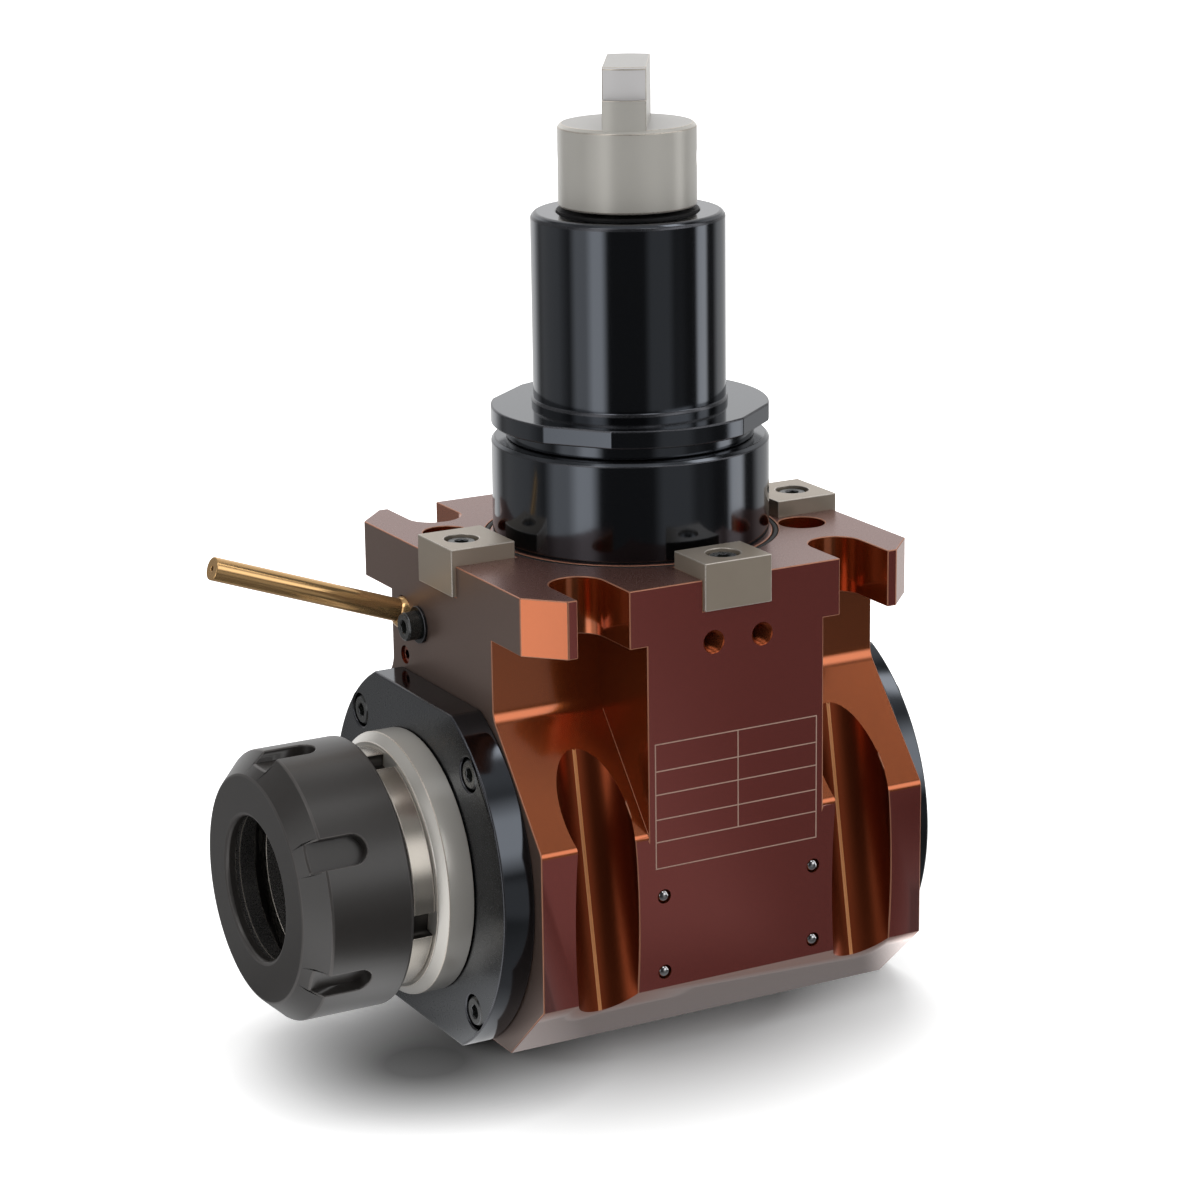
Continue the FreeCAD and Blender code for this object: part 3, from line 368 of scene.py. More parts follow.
def fitPiece(obj, name, body, nodes, place=None):
    # from millimetres about its own axis to metres in the frame
    obj.name = name
    obj.data.name = name
    obj.data.transform(Matrix.Scale(mm, 4) @ (place or Matrix.Identity(4)))
    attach(obj, body)
    if nodes:
        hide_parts(*nodes)
    return obj


def dress(obj, *names):
    obj.data.materials.clear()
    for name in names:
        obj.data.materials.append(finishes[name])
    return obj


# Camera, at the photograph's viewing angle

cameraSetting = {"turn": 28.6503, "rise": 15.6452, "roll": -0.7462, "distance": 820.39,
                 "aimAcross": -7.5346, "aimUp": -17.2589, "lens": 103.84, "sensor": 36.0}


def placeCamera(setting):
    turn, rise, roll = (math.radians(setting[key]) for key in ("turn", "rise", "roll"))
    back = Vector((-math.sin(turn) * math.cos(rise), -math.cos(turn) * math.cos(rise), math.sin(rise)))
    right = Vector((math.cos(turn), -math.sin(turn), 0))
    up = back.cross(right)
    aim = right * setting["aimAcross"] + Vector((0, 0, setting["aimUp"]))
    rolledRight = right * math.cos(roll) + up * math.sin(roll)
    rolledUp = up * math.cos(roll) - right * math.sin(roll)
    data = bpy.data.cameras.new("camera")
    data.sensor_fit = "HORIZONTAL"
    data.sensor_width = setting["sensor"]
    data.lens = setting["lens"]
    data.clip_start = 0.01
    camera = bpy.data.objects.new("camera", data)
    matrix = Matrix((rolledRight, rolledUp, back)).transposed().to_4x4()
    matrix.translation = (aim + back * setting["distance"]) * mm
    camera.matrix_world = matrix
    scene.collection.objects.link(camera)
    scene.camera = camera


placeCamera(cameraSetting)
print("camera placed")


# Housing: a milled block with a flared foot, a plate with four open bolt slots and grooves for the wrench

screwM4 = {"shank": 2.0, "head": 3.5, "height": 4.0, "across": 3.0}
lowScrewM4 = {"shank": 2.0, "head": 3.5, "height": 2.8, "across": 2.5}

housing = {
    "halfX": 50.6, "halfY": 48.2, "plate": 13.4, "cornerX": 7.7, "cornerY": 8.1,
    "columnHalf": 23.1, "neckHalf": 25.9, "neckDrop": 31.5, "shoulderDrop": 57.8, "flankDrop": 95.0,
    "drop": 110.6, "footHalf": 31.5, "bend": 6.0, "shoulder": 2.8, "columnDrop": 90.0,
    "slotX": 34.0, "slotY": 36.3, "slotWidth": 13.0, "grooveRadius": 8.2, "grooveTilt": 10.3,
    # the painted highlight line in each groove: its place round the groove, half width and rise
    "grooveHighlightLine": {"turn": 88.0, "half": 0.45, "rise": 0.2},
    "keyInner": 35.1, "keyWidth": 17.44, "keyDepth": 7.2,
    "ringInner": 33.3, "ringOuter": 34.7, "ringDepth": 1.35,
    "pilotRadius": 30.02, "pilotDepth": 12.8, "bearingRadius": 26.02, "bearingDrop": 45.0,
    "shaftChamber": 24.356, "gearChamber": 24.956, "frontBore": 31.02, "frontBoreStart": 26.3,
    "rearLip": 17.5, "rearBore": 20.02, "rearBoreStart": 26.956,
    "frontHoles": (-5.95, 6.75), "frontHoleDrop": 14.7, "frontHoleDepth": 12.0, "mouthRadius": 2.75,
    "threadCrest": 2.1, "threadRoot": 2.5, "threadPitch": 0.8,
    "ballX": (-19.25, 20.55), "ballDrops": (72.9, 91.2), "ballRadius": 1.7, "ballInset": 1.4, "play": 0.02,
    "feedRadius": 5.5, "feedDepth": 6.0, "feedHoles": ((37.6, -15.6), (-38.3, 20.8)),
    "galleryRadius": 2.5, "feedDropRadius": 3.0,
    "nozzleY": 19.4, "nozzleDrop": 17.75, "nozzleSeat": 4.25, "nozzleSeatDepth": 5.22,
    "clampY": 10.903, "clampDrop": 18.493, "clampHoleDepth": 11.0,
    "plugY": 19.2, "plugDrop": 27.9, "plugDepth": 6.5, "plugHole": 2.22,
    "edge": 0.25,
}
housingFinishes = ("anodised_aluminium", "anodised_edge_and_highlight", "seating_face_sheen", "end_face_sheen", "tapped_hole",
                   "panel_face_shade", "groove_wall_shaded", "groove_highlight_paint")
seatSheenFinish, endSheenFinish, holeFinish, panelShadeFinish, shadedGrooveFinish, highlightLineFinish = range(2, 8)


def housingEdge(edge):
    # the deburring left out the small holes and the slopes' borders, and caught one side of each groove; the
    # lighter finish on these bevels is partly a painted edge highlight
    faces = edge.link_faces
    marks = [face.material_index for face in faces]
    middle = (edge.verts[0].co + edge.verts[1].co) / 2
    atEnd = any(abs(face.normal.x) > 0.99 for face in faces)
    slanted = any(0.2 < abs(face.normal.z) < 0.9 and abs(face.normal.x) < 0.1 for face in faces)
    if holeFinish in marks or highlightLineFinish in marks:
        return 0.0
    if edge.calc_face_angle_signed() < 0:
        # the hollow corner between a slope and the column shows as a fine line, a painted highlight kept to
        # the slope's height below the bend, where the light reaches it
        beside = atEnd and housing["neckDrop"] + 2 < -middle.z < housing["shoulderDrop"]
        return 0.4 if beside and shadedGrooveFinish not in marks else 0.0
    if slanted and not atEnd:
        return 0.0
    if shadedGrooveFinish in marks:
        return 1.0 if (abs(middle.x) - housing["slotX"]) * middle.x * -middle.y > 0 else 0.0
    return 1.0


def boltSlots(size):
    # each is open to the front or the back and has a round end
    slots = []
    for sx in (-1, 1):
        for sy in (-1, 1):
            start = 180 if sy > 0 else 0
            mouth = sy * (size["halfY"] + 2)
            centre = (sx * size["slotX"], sy * size["slotY"])
            bend = arc(size["slotWidth"] / 2, start, start + 180, 32, centre)
            outline = bend + [(bend[-1][0], mouth), (bend[0][0], mouth)]
            slots.append(prism("slot", outline, -size["plate"] - 1, 1))
    return slots


def mainBores(size):
    # the O-ring's groove, the shank's bore from above and the collet's bore from end to end
    inner, outer, depth = size["ringInner"], size["ringOuter"], size["ringDepth"]
    groove = lathe("ringGroove", [(inner, -depth), (outer, -depth), (outer, 1), (inner, 1)])
    chamber, bearing, pilot = size["shaftChamber"], size["bearingRadius"], size["pilotRadius"]
    shankBore = lathe("shankBore", [
        (0, axisHeight), (chamber, axisHeight), (chamber, -size["bearingDrop"]),
        (bearing, -size["bearingDrop"]), (bearing, -size["pilotDepth"]), (pilot, -size["pilotDepth"]),
        (pilot, 1), (0, 1)])
    end, gear, lip = size["halfX"] + 1, size["gearChamber"], size["rearLip"]
    rear, front = size["rearBore"], size["frontBore"]
    colletBore = lathe("colletBore", [
        (0, -end), (rear, -end), (rear, -size["rearBoreStart"]), (lip, -size["rearBoreStart"]), (lip, -gear),
        (gear, -gear), (gear, size["frontBoreStart"]), (front, size["frontBoreStart"]), (front, end),
        (0, end)])
    colletBore.data.transform(onOutput)
    return [groove, shankBore, colletBore]


def makeHousing(size):
    side = [(size["neckHalf"], 0), (size["neckHalf"], -size["neckDrop"], size["bend"]),
            (size["halfY"], -size["shoulderDrop"], size["shoulder"]), (size["halfY"], -size["flankDrop"]),
            (size["footHalf"], -size["drop"])]
    outline = side + [(-p[0],) + p[1:] for p in reversed(side)]
    body = prism("housing", rounded(outline), -size["halfX"], size["halfX"], extrudedAlongX)
    column = block(-size["columnHalf"], size["columnHalf"], -size["halfY"], size["halfY"],
                   -size["columnDrop"], 0)
    a, b = size["halfX"], size["halfY"]
    c, d = a - size["cornerX"], b - size["cornerY"]
    plate = prism("plate", [(a, d), (c, b), (-c, b), (-a, d), (-a, -d), (-c, -b), (c, -b), (a, -d)],
                  -size["plate"], 0)
    carve(plate, boltSlots(size))
    carve(body, [column, plate], "UNION")

    tools = [slantedGroove(size, sx, sy) for sx in (-1, 1) for sy in (-1, 1)]
    half = size["keyWidth"] / 2
    for turn, reach in ((0, a), (90, b), (180, a), (270, b)):
        tools.append(spun(block(size["keyInner"], reach + 5, -half, half, -size["keyDepth"], 5), turn))
    dress(body, *housingFinishes)
    carve(body, tools + mainBores(size) + smallHoles(size))
    paintFaces(body, size)
    breakEdges(body, size["edge"], share=housingEdge)
    fitPiece(body, "milled_housing", "casing", ["housing"])


def grooveSection(size, sy):
    # a circle with a shallow ridge along its deepest side, which carries the painted highlight line
    radius, line = size["grooveRadius"], size["grooveHighlightLine"]
    half = math.degrees(line["half"] / radius)
    low, high = line["turn"] - half, line["turn"] + half
    points = arc(radius, high, low + 360, 95) + arc(radius - line["rise"], line["turn"], line["turn"], 1)[:1]
    return [(x, -sy * y) for x, y in points]


def slantedGroove(size, sx, sy):
    # the wrench groove starts under the plate and leans outwards on its way down
    tilt = math.radians(size["grooveTilt"])
    slope = math.tan(tilt)
    stretched = size["grooveRadius"] / math.cos(tilt)
    section = grooveSection(size, sy)
    points = []
    for height in (-size["plate"] - 0.01, -2 * size["drop"]):
        centre = sy * (size["slotY"] - (height + size["plate"]) * slope)
        points += [(sx * size["slotX"] + x, centre + y * stretched / size["grooveRadius"], height)
                   for x, y in section]
    count = len(section)
    groove = makeObject("groove", points, bridged(count), shadedGrooveFinish)
    # the faces along the ridge take the painted highlight's finish
    crest = min(range(count), key=lambda i: math.hypot(*section[i]))
    for face in groove.data.polygons:
        if {crest, count + crest} <= set(face.vertices):
            face.material_index = highlightLineFinish
    return groove


def tappedHole(size):
    # a cone at the mouth, the thread, a plain end and the drill's point
    crest, root, pitch = size["threadCrest"], size["threadRoot"], size["threadPitch"]
    lead = size["mouthRadius"] - root
    outline = [(0, -1), (size["mouthRadius"] + 1, -1), (root, lead)]
    for i in range(int(size["frontHoleDepth"] / pitch) - 2):
        start = lead + 0.1 + i * pitch
        outline += [(root, start + 0.1), (crest, start + pitch * 0.5), (crest, start + pitch * 0.6),
                    (root, start + pitch)]
    outline += [(crest, outline[-1][1] + 0.3), (crest, size["frontHoleDepth"]),
                (0, size["frontHoleDepth"] + crest * 0.6)]
    return lathe("frontHole", outline, 48, holeFinish)


def smallHoles(size):
    # front: tapped holes and ball seats; top: coolant feeds; left end: nozzle, clamp and plug
    front, left = -size["halfY"], -size["halfX"]
    play, feedX = size["play"], size["feedHoles"][1][0]
    inwards, fromLeft = (0, 1, 0), (1, 0, 0)
    tools = [aimed(tappedHole(size), (x, front, -size["frontHoleDrop"]), inwards) for x in size["frontHoles"]]
    bore, depth = size["ballRadius"] + play, size["ballInset"] + size["ballRadius"] + play
    for x in size["ballX"]:
        for drop in size["ballDrops"]:
            hole = lathe("ballHole", [(0, -1), (bore, -1), (bore, depth), (0, depth)], 48, holeFinish)
            tools.append(aimed(hole, (x, front, -drop), inwards))
    for x, y in size["feedHoles"]:
        tools.append(rod(size["feedRadius"], -size["feedDepth"], 1, x, y))
    mouth = (left, size["nozzleY"], -size["nozzleDrop"])
    seat = rod(size["nozzleSeat"], -1, size["nozzleSeatDepth"], finish=holeFinish)
    tools.append(aimed(seat, mouth, fromLeft))
    tools.append(aimed(rod(size["galleryRadius"], 0, feedX - left), mouth, fromLeft))
    tools.append(rod(size["feedDropRadius"], -size["nozzleDrop"], 0, feedX, size["nozzleY"]))
    hole = rod(screwM4["shank"] + play, -1, size["clampHoleDepth"], segments=32, finish=holeFinish)
    tools.append(aimed(hole, (left, size["clampY"], -size["clampDrop"]), fromLeft))
    hole = rod(size["plugHole"], -1, size["plugDepth"], segments=48, finish=holeFinish)
    tools.append(aimed(hole, (left, size["plugY"], -size["plugDrop"]), fromLeft))
    return tools


def paintFaces(body, size):
    # the top face, the two ends and the front and back each get their own copy of the dye, painting how the
    # light falls on each side
    for face in body.data.polygons:
        if face.normal.z > 0.99 and face.center.z > -0.01:
            face.material_index = seatSheenFinish
        elif abs(face.normal.x) > 0.99 and abs(face.center.x) > size["halfX"] - 0.01:
            face.material_index = endSheenFinish
        elif abs(face.normal.y) > 0.99 and abs(face.center.y) > size["halfY"] - 0.01:
            face.material_index = panelShadeFinish


makeHousing(housing)
print("housing milled")


# Printed grid: bare ruled cells, laser marked on the front face

grid = {"left": -21.3, "right": 21.3, "top": -36.5, "bottom": -66.0,
        "rows": (0, 0.216, 0.404, 0.605, 0.786, 1), "divider": 0.507,
        "dividerEnd": 4,      # the row line that the upright between the columns ends at
        "line": 0.28, "proud": 0.02, "sunk": 0.05}


def makeGrid(size):
    front = span("housing", 1)[0]
    left, right, top, bottom = size["left"], size["right"], size["top"], size["bottom"]
    half = size["line"] / 2
    levels = [top - (top - bottom) * share for share in size["rows"]]
    middle = left + (right - left) * size["divider"]
    bars = [(left - half, right + half, z - half, z + half) for z in levels]
    bars += [(x - half, x + half, bottom, top) for x in (left, right)]
    bars.append((middle - half, middle + half, levels[size["dividerEnd"]], top))
    pieces = [block(x0, x1, front - size["proud"], front + size["sunk"], z0, z1) for x0, x1, z0, z1 in bars]
    lines = carve(pieces[0], pieces[1:], "UNION")
    dress(lines, "laser_mark")
    fitPiece(lines, "ruled_grid", "casing", [])


makeGrid(grid)
print("grid ruled")


# Locating keys and their cap screws

key = {"width": 17.4, "rise": 3.9, "depth": 7.2, "inner": 35.3, "proud": 1.0, "holeX": 44.6, "holeY": 42.25,
       "shankRadius": 2.25, "headRadius": 4.0, "headFloor": -0.7, "edge": 0.25, "screwLength": 12.0}
keyPlaces = (
    # side, turn, the plate's reach and the screw's place along it
    ("right", 0, housing["halfX"], key["holeX"]), ("back", 90, housing["halfY"], key["holeY"]),
    ("left", 180, housing["halfX"], key["holeX"]), ("front", 270, housing["halfY"], key["holeY"]),
)
# every cap screw's own detail; its headEdge and socketFloor are shares of the head's height
screwForm = {"point": 0.4, "threadStart": 0.5, "pitch": 0.7, "threadDepth": 0.35, "plainLength": 3.0,
             "headStep": 0.4, "headEdge": 0.12, "socketFloor": 0.45, "leadWide": 0.25, "leadNarrow": 0.35,
             "leadDepth": 0.4, "edge": 0.08}


def makeKeys(size):
    half = size["width"] / 2
    for side, turn, reach, x in keyPlaces:
        piece = block(size["inner"], reach + size["proud"], -half, half, -size["depth"], size["rise"])
        carve(piece, [rod(size["shankRadius"], -size["depth"] - 1, size["rise"], x),
                      rod(size["headRadius"], size["headFloor"], size["rise"] + 1, x)])
        dress(piece, "ground_steel", "bright_steel_edge")
        breakEdges(spun(piece, turn), size["edge"])
        fitPiece(piece, "ground_key_" + side, "casing", ["key_" + side])


def hexagon(across):
    return arc(across / math.sqrt(3), 0, 300, 5)


def capScrew(size, length):
    # a socket cap screw with the underside of its head at zero
    head, height, shank = size["head"], size["height"], size["shank"]
    form = screwForm
    edge = form["headEdge"] * height
    outline = [(0, -length), (shank - form["point"], -length), (shank, -length + form["point"])]
    start = -length + form["threadStart"]
    while start < -form["plainLength"]:
        outline += [(shank, start), (shank - form["threadDepth"], start + form["pitch"] / 2)]
        start += form["pitch"]
    outline += [(shank, start), (shank, 0), (head, 0), (head, form["headStep"]), (head, height - edge),
                (head - edge, height), (0, height)]
    screw = lathe("screw", outline, 64)
    socket = prism("socket", hexagon(size["across"]), form["socketFloor"] * height, height + 1)
    corner = size["across"] / math.sqrt(3)
    wide, narrow, floor = corner + form["leadWide"], corner - form["leadNarrow"], height - form["leadDepth"]
    lead = lathe("lead", [(0, height + 0.1), (wide, height + 0.1), (narrow, floor), (0, floor)], 48)
    carve(screw, [socket, lead])
    dress(screw, "screw_black", "screw_edge")
    return breakEdges(screw, form["edge"], 1, 40)


def joined(pieces):
    # several separate solids in one object, as the frame keeps them
    work = bmesh.new()
    for piece in pieces:
        work.from_mesh(piece.data)
    first = pieces[0]
    work.to_mesh(first.data)
    work.free()
    for piece in pieces[1:]:
        bpy.data.objects.remove(piece)
    return first


def makeKeyScrews(size):
    screws = []
    for _, turn, _, x in keyPlaces:
        screw = capScrew(screwM4, size["screwLength"])
        screw.data.transform(Matrix.Translation((x, 0, size["headFloor"])))
        screws.append(spun(screw, turn))
    fitPiece(joined(screws), "key_cap_screws", "casing", ["key_screws"])


makeKeys(key)
makeKeyScrews(key)
print("keys seated")


# Shank: spigot, the sleeve with four wrench flats, and the O-ring round its foot

spigot = {"radius": 32.5, "height": 23.4, "bore": 18.5, "throat": 14.0, "stackTop": -15.0,
          "throatBottom": -8.0, "bearing": 25.98, "pilot": 30.0, "pilotDepth": 12.8, "threadBore": 24.05,
          "threadFloor": 11.0, "chamfer": 0.8, "edge": 0.2}
sleeve = {"bore": 14.0, "thread": 24.0, "threadBottom": 11.4, "neck": 29.0, "discBottom": 26.7,
          "discTop": 31.0, "disc": 32.5, "foot": 22.9, "footRise": 1.3, "footEdge": 0.4, "radius": 22.5,
          "top": 75.8, "chamfer": 1.0, "sealSeat": 16.42, "sealBottom": 71.7, "bearingSeat": 16.02,
          "bearingBottom": 63.0, "flatAngle": 14.4, "flatTurn": 38.4, "edge": 0.45}
faceRing = {"middle": 34.0, "section": 0.68, "height": -0.65}


def makeSpigot(s):
    rim = s["radius"] - s["chamfer"]
    body = lathe("spigot", [
        (s["bore"], s["stackTop"]), (s["bearing"], s["stackTop"]), (s["bearing"], -s["pilotDepth"]),
        (s["pilot"], -s["pilotDepth"]), (s["pilot"], 0), (s["radius"], 0),
        (s["radius"], s["height"] - s["chamfer"]), (rim, s["height"]), (s["threadBore"], s["height"]),
        (s["threadBore"], s["threadFloor"]), (s["throat"], s["threadFloor"]),
        (s["throat"], s["throatBottom"]), (s["bore"], s["throatBottom"])], 256)
    dress(body, "black_oxide", "black_oxide_edge")
    breakEdges(body, s["edge"], 2, 25)
    fitPiece(body, "shank_spigot", "casing", ["spigot"])


def makeSleeve(s, neckTop):
    foot = s["discTop"] + s["footRise"]
    body = lathe("sleeve", [
        (s["bore"], s["threadBottom"]), (s["thread"], s["threadBottom"]), (s["thread"], neckTop),
        (s["neck"], neckTop), (s["neck"], s["discBottom"]), (s["disc"], s["discBottom"]),
        (s["disc"], s["discTop"]), (s["foot"], s["discTop"]), (s["foot"], foot),
        (s["radius"], foot + s["footEdge"]), (s["radius"], s["top"] - s["chamfer"]),
        (s["radius"] - s["chamfer"], s["top"]), (s["sealSeat"], s["top"]), (s["sealSeat"], s["sealBottom"]),
        (s["bearingSeat"], s["sealBottom"]), (s["bearingSeat"], s["bearingBottom"]),
        (s["bore"], s["bearingBottom"])], 248)      # 248 steps keep slivers off the flats' corners
    flat = s["disc"] * math.cos(math.radians(s["flatAngle"]))
    carve(body, [spun(block(flat, s["disc"] + 3, -20, 20, s["discBottom"] - 1, s["discTop"] + 1),
                      s["flatTurn"] + 90 * i) for i in range(4)])
    dress(body, "black_oxide", "black_oxide_edge")
    breakEdges(body, s["edge"], 3, 25)
    fitPiece(body, "flatted_sleeve", "casing", ["upper_sleeve"])


def makeFaceRing(s):
    ring = lathe("faceRing", arc(s["section"], 0, 345, 23, (s["middle"], s["height"])), 200)
    dress(ring, "seal_rubber")
    fitPiece(ring, "face_o_ring", "casing", ["face_ring"])


makeSpigot(spigot)
makeSleeve(sleeve, spigot["height"])
makeFaceRing(faceRing)
print("shank turned")


# Drive collar with its tang, and the cross pin

collar = {"radius": 16.0, "bore": 10.0, "bottom": 77.0, "top": 96.0, "chamfer": 0.8, "lowChamfer": 0.4,
          "boreDepth": 13.5, "tangThick": 10.0, "tangStep": 102.7, "tangTop": 110.0, "lowRadius": 15.4,
          "highRadius": 13.9, "tangEdge": 0.5, "tangTurn": 58.4, "edge": 0.2, "pinRadius": 2.0,
          "pinHeight": 87.5, "pinReach": 15.5, "pinPlay": 0.02, "pinEdge": 0.3}
tangHighlightFinish, topShadeFinish = 2, 3


def crossPin(pin, s):
    # laid through the collar at right angles to the tang
    pin.data.transform(Matrix.Rotation(math.radians(90), 4, "Y"))
    pin.data.transform(Matrix.Translation((0, 0, s["pinHeight"])))
    return spun(pin, s["tangTurn"] - 90)


def makeCollar(s):
    boreFloor = s["bottom"] + s["boreDepth"]
    body = lathe("collar", [
        (s["bore"], s["bottom"]), (s["radius"] - s["lowChamfer"], s["bottom"]),
        (s["radius"], s["bottom"] + s["lowChamfer"]), (s["radius"], s["top"] - s["chamfer"]),
        (s["radius"] - s["chamfer"], s["top"]), (0, s["top"]), (0, boreFloor), (s["bore"], boreFloor)], 200)
    tang = lathe("tang", [(0, s["top"] - 1), (s["lowRadius"], s["top"] - 1), (s["lowRadius"], s["tangStep"]),
                          (s["highRadius"], s["tangStep"]), (s["highRadius"], s["tangTop"] - s["tangEdge"]),
                          (s["highRadius"] - s["tangEdge"], s["tangTop"]), (0, s["tangTop"])])
    half = s["tangThick"] / 2
    carve(tang, [block(-20, 20, -half, half, s["top"] - 2, s["tangTop"] + 1)], "INTERSECT")
    carve(body, [spun(tang, s["tangTurn"])], "UNION")
    carve(body, [crossPin(rod(s["pinRadius"], -20, 20, segments=48), s)])
    dress(body, "collar_steel", "bright_steel_edge", "tang_side_highlight", "collar_top_shaded")
    # up-facing faces get the painted shade, the tang's end the painted highlight
    for face in body.data.polygons:
        if face.normal.z > 0.9:
            face.material_index = topShadeFinish
        elif face.center.z > s["tangStep"] + 0.01:
            face.material_index = tangHighlightFinish
    breakEdges(body, s["edge"], 2, 25)
    fitPiece(body, "drive_collar", "input", ["drive_coupling"])

    reach, edge = s["pinReach"], s["pinEdge"]
    radius, small = s["pinRadius"] - s["pinPlay"], s["pinRadius"] - edge
    pin = lathe("pin", [(0, -reach), (small, -reach), (radius, -reach + edge), (radius, reach - edge),
                        (small, reach), (0, reach)], 48)
    dress(crossPin(pin, s), "ball_steel")
    fitPiece(pin, "collar_pin", "input", ["coupling_pin"])


makeCollar(collar)
print("drive collar made")


# Covers with sunk cap screws; the front one has the bore for the spindle

cover = {"radius": 45.0, "topFlat": 40.3, "screwCircle": 40.3, "thick": 7.9, "rearThick": 4.4, "sink": 0.2,
         "holeGap": 0.5, "lipBore": 23.5, "sealBore": 29.0, "lip": 3.0, "pilot": 30.98, "pilotEnd": 50.305,
         "rearPilot": 19.98, "rearPilotBore": 17.5, "rearPilotEnd": 38.956, "edge": 0.5, "grooveFloor": 18.32,
         "grooveStart": 45.6, "grooveEnd": 48.0, "screwLength": 14.0, "rearScrewLength": 10.0,
         "socketTurn": 17, "socketStep": 23}      # each screw's socket stands at its own angle
facedFinish = 2


def coverDisc(size, bottom, top):
    # round, with one flat above and one level with the foot
    low = axisHeight - span("housing", 2)[0]
    upperTurn = math.degrees(math.acos(size["topFlat"] / size["radius"]))
    lowerTurn = math.degrees(math.acos(low / size["radius"]))
    outline = arc(size["radius"], upperTurn, 180 - lowerTurn, 90)
    outline += arc(size["radius"], 180 + lowerTurn, 360 - upperTurn, 90)
    return prism("cover", outline, bottom, top)


def coverHoles(size, screw, top):
    offset = size["screwCircle"] * math.sqrt(0.5)
    floor = top - screw["height"] - size["sink"]
    tools = []
    for x in (-offset, offset):
        for y in (-offset, offset):
            tools.append(rod(screw["shank"] + size["holeGap"] / 2, 0, top + 1, x, y))
            tools.append(rod(screw["head"] + size["holeGap"], floor, top + 1, x, y))
    return tools


def coverScrews(size, screw, top, length, place):
    offset = size["screwCircle"] * math.sqrt(0.5)
    floor = top - screw["height"] - size["sink"]
    screws = []
    for number, (x, y) in enumerate(((-1, -1), (-1, 1), (1, -1), (1, 1))):
        piece = spun(capScrew(screw, length), size["socketTurn"] + size["socketStep"] * number)
        piece.data.transform(place @ Matrix.Translation((x * offset, y * offset, floor)))
        screws.append(piece)
    return joined(screws)


def dressCover(piece):
    # the faces reflect in streaks round the axis, as the facing tool leaves them, and the rim is smooth
    dress(piece, "black_oxide", "black_oxide_edge", "black_cover")
    for face in piece.data.polygons:
        if abs(face.normal.z) > 0.99:
            face.material_index = facedFinish


def makeFrontCover(size):
    start = housing["halfX"]
    face = start + size["thick"]
    front = coverDisc(size, start, face)
    carve(front, [rod(size["pilot"], size["pilotEnd"], start + 1, segments=160)], "UNION")
    bores = [rod(size["lipBore"], 0, face + 1, segments=160),
             rod(size["sealBore"], 0, face - size["lip"], segments=160)]
    carve(front, bores + coverHoles(size, screwM4, face))
    dressCover(front)
    breakEdges(front, size["edge"])
    fitPiece(front, "front_cover_plate", "casing", ["front_flange"], onOutput)
    screws = coverScrews(size, screwM4, face, size["screwLength"], onOutput)
    fitPiece(screws, "front_cover_screws", "casing", ["flange_screws"])


def makeRearCover(size):
    flipped = onOutput @ Matrix.Rotation(math.pi, 4, "X")
    start = housing["halfX"]
    face = start + size["rearThick"]
    rear = coverDisc(size, start, face)
    pilot, bore, floor = size["rearPilot"], size["rearPilotBore"], size["grooveFloor"]
    boss = lathe("boss", [
        (bore, size["rearPilotEnd"]), (pilot, size["rearPilotEnd"]), (pilot, size["grooveStart"]),
        (floor, size["grooveStart"]), (floor, size["grooveEnd"]), (pilot, size["grooveEnd"]),
        (pilot, start + 0.5), (bore, start + 0.5)])
    carve(rear, [boss], "UNION")
    carve(rear, coverHoles(size, lowScrewM4, face))
    dressCover(rear)
    breakEdges(rear, size["edge"])
    fitPiece(rear, "rear_cover_plate", "casing", ["rear_cover"], flipped)
    screws = coverScrews(size, lowScrewM4, face, size["rearScrewLength"], flipped)
    fitPiece(screws, "rear_cover_screws", "casing", ["rear_screws"])


makeFrontCover(cover)
makeRearCover(cover)
print("covers screwed on")


# Steel rings and the spindle, turned about the collet axis

ring = {"bore": 24.02, "radius": 31.0, "chamfer": 2.1, "lip": 0.4, "edge": 0.2}
spindle = {"rearEnd": -39.456, "rearSeat": 8.48, "rearStart": -26.956, "tail": 9.5, "tailEdge": 0.4,
           "nutStart": 8.3, "gearThread": 9.9, "gearSeat": 10.0, "gearFront": 13.5, "gearBack": 26.305,
           "frontSeat": 19.98, "frontEnd": 50.305, "sealLand": 23.0, "ringSeat": 24.0,
           "band": 28.0, "bandEdge": 0.3, "notchWidth": 6.2, "notchDepth": 3.2, "notchTurn": -12.0,
           "threadLength": 15.0, "relief": 24.0, "reliefLength": 2.6, "runIn": 3, "runOut": 2,
           "crest": 25.0, "root": 24.1, "pitch": 1.5, "crestStart": 0.5, "crestEnd": 0.62,
           "mouth": 20.0, "taperAngle": 8.0, "taperDepth": 36.0, "bore": 13.0, "boreDepth": 20.0,
           "drillPoint": 59, "noseFace": 87.7, "noseEdge": 0.8, "play": 0.02,
           "keyFloor": 6.5, "keyHeight": 6.0, "keyHalf": 3.02, "keyLength": 8.0, "edge": 0.15}
taperFinish, notchShadeFinish = 2, 3


def makeRing(size):
    back, front = sorted(-x for x in span("labyrinth_ring", 0))
    bore, radius, inner = size["bore"], size["radius"], size["radius"] - size["chamfer"]
    body = lathe("ring", [(bore, back), (radius, back), (radius, front - size["chamfer"]),
                          (inner, front - size["lip"]), (inner, front), (bore, front)], 256)
    dress(body, "ring_steel", "bright_steel_edge")
    breakEdges(body, size["edge"], 2, 25)
    fitPiece(body, "labyrinth_collar", "spindle", ["labyrinth_ring"], onOutput)


def nutThread(s, start):
    # each crest is a narrow flat, and the last turn runs out at the root
    crest, root, pitch = s["crest"], s["root"], s["pitch"]
    thread = []
    while start < s["noseFace"] - s["runOut"]:
        thread += [(root, start), (crest, start + s["crestStart"] * pitch),
                   (crest, start + s["crestEnd"] * pitch)]
        start += pitch
    return thread + [(root, start)]


